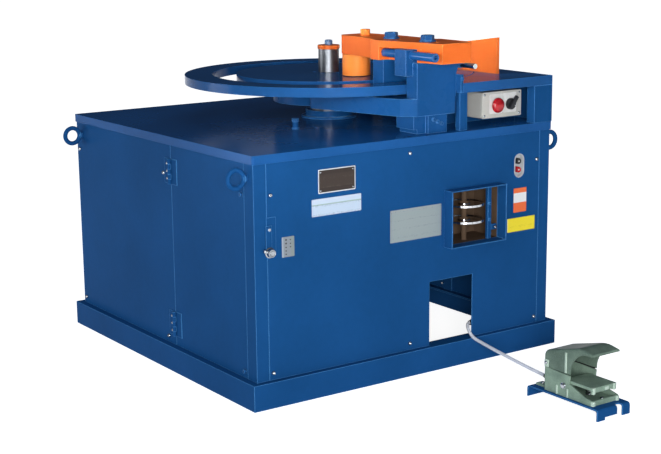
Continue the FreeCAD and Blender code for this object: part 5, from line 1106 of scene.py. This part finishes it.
# %% Floor
FLOOR_GLOW = 0.88
floor_material, floor_tree, floor_place = new_material("white studio floor")
grain = add(floor_tree, "ShaderNodeTexNoise", {"Vector": floor_place, "Scale": 5.0, "Detail": 3.0})
paper_tone = add(floor_tree, "ShaderNodeValToRGB", {"Fac": grain}, [
    (0.2, linear("#f2f2f2")), (0.8, linear("#f7f7f7")),
])
lit_paper = add(floor_tree, "ShaderNodeBsdfDiffuse", {"Color": paper_tone})
paper_glow = add(floor_tree, "ShaderNodeEmission", {"Color": (1, 1, 1, 1), "Strength": FLOOR_GLOW})
white_paper = add(floor_tree, "ShaderNodeAddShader", {0: lit_paper, 1: paper_glow})
light_path = add(floor_tree, "ShaderNodeLightPath").outputs
camera_or_glossy = add(floor_tree, "ShaderNodeMath", {
    0: light_path["Is Camera Ray"], 1: light_path["Is Glossy Ray"],
}, operation="MAXIMUM")
seen = add(floor_tree, "ShaderNodeMath", {
    0: camera_or_glossy, 1: light_path["Is Transmission Ray"],
}, operation="MAXIMUM")
floor_mix = add(floor_tree, "ShaderNodeMixShader", {0: seen, 1: lit_paper, 2: white_paper})
add(floor_tree, "ShaderNodeOutputMaterial", {"Surface": floor_mix})

FLOOR_HALF = 30
FLOOR_LEVEL = -0.0005
floor_mesh = bpy.data.meshes.new("floor")
corners = [(x * FLOOR_HALF, y * FLOOR_HALF, FLOOR_LEVEL) for x, y in ((-1, -1), (1, -1), (1, 1), (-1, 1))]
floor_mesh.from_pydata(corners, [], [(0, 1, 2, 3)])
floor_mesh.materials.append(floor_material)
floor = bpy.data.objects.new("floor", floor_mesh)
bpy.context.scene.collection.objects.link(floor)
print("floor width", 2 * FLOOR_HALF)

# %% [markdown]
# The world is the room. The camera sees only floor behind the machine, but the glossy table mirrors the
# band just above the horizon. In the photograph that band is dark, so the sky goes from a dim horizon to
# a bright ceiling. It needs no Light Path: the same room lights the machine and shows in its paint.

# %% World
ROOM_STRENGTH = 0.7
world = bpy.data.worlds.new("studio")
bpy.context.scene.world = world
world.use_nodes = True
world_tree = world.node_tree
world_tree.nodes.clear()
sky_direction = add(world_tree, "ShaderNodeTexCoord").outputs["Generated"]
height = add(world_tree, "ShaderNodeSeparateXYZ", {"Vector": sky_direction}).outputs["Z"]
room = add(world_tree, "ShaderNodeValToRGB", {"Fac": height}, [
    (0.0, linear("#262d36")), (0.3, linear("#303842")), (0.6, linear("#8a929c")), (1.0, linear("#c4c9cf")),
])
studio = add(world_tree, "ShaderNodeBackground", {"Color": room, "Strength": ROOM_STRENGTH})
add(world_tree, "ShaderNodeOutputWorld", {"Surface": studio})
print("world nodes", len(world_tree.nodes))

# %% [markdown]
# The key lamp stands far off at the left front, so both near sides of the cabinet are lit. Three weak
# lamps lift the front, the lower front and the left side. Two narrow ones pick out the tooling on the
# table and the orange reaction plate, which the key reaches only at a low angle.

# %% Lamps
MIDDLE = (-0.1, -0.1, 0.45)
LAMPS = {
    # place, target, size, power, spread in degrees
    "key": ((-3.0, -4.6, 1.3), MIDDLE, 1.6, 200, 180),
    "near_front": ((-0.5, -1.4, 0.35), (0.15, -0.26, 0.3), 0.6, 2.6, 180),
    "fill_front": ((1.6, -4.2, 2.4), MIDDLE, 2.4, 3, 180),
    "fill_left": ((-3.2, 2.6, 0.35), (-0.1, -0.1, 0.25), 1.6, 48, 180),
    "over_the_table": ((-1.7, -0.9, 1.2), (0.3, -0.05, 0.92), 0.4, 1.4, 40),
    "at_the_reaction_plate": ((-1.2, 0.9, 2.0), (0.42, 0.0, 0.90), 0.25, 0.2, 10),
}
for name, (place, target, size, power, spread) in LAMPS.items():
    lamp_data = bpy.data.lights.new(name, "AREA")
    lamp_data.shape = "SQUARE"
    lamp_data.size = size
    lamp_data.energy = power
    lamp_data.spread = math.radians(spread)
    lamp = bpy.data.objects.new(name, lamp_data)
    lamp.location = place
    lamp.rotation_euler = (Vector(target) - Vector(place)).to_track_quat("-Z", "Y").to_euler()
    bpy.context.scene.collection.objects.link(lamp)
print("lamps", len(LAMPS))

# %% Update of the view layer
bpy.context.view_layer.update()
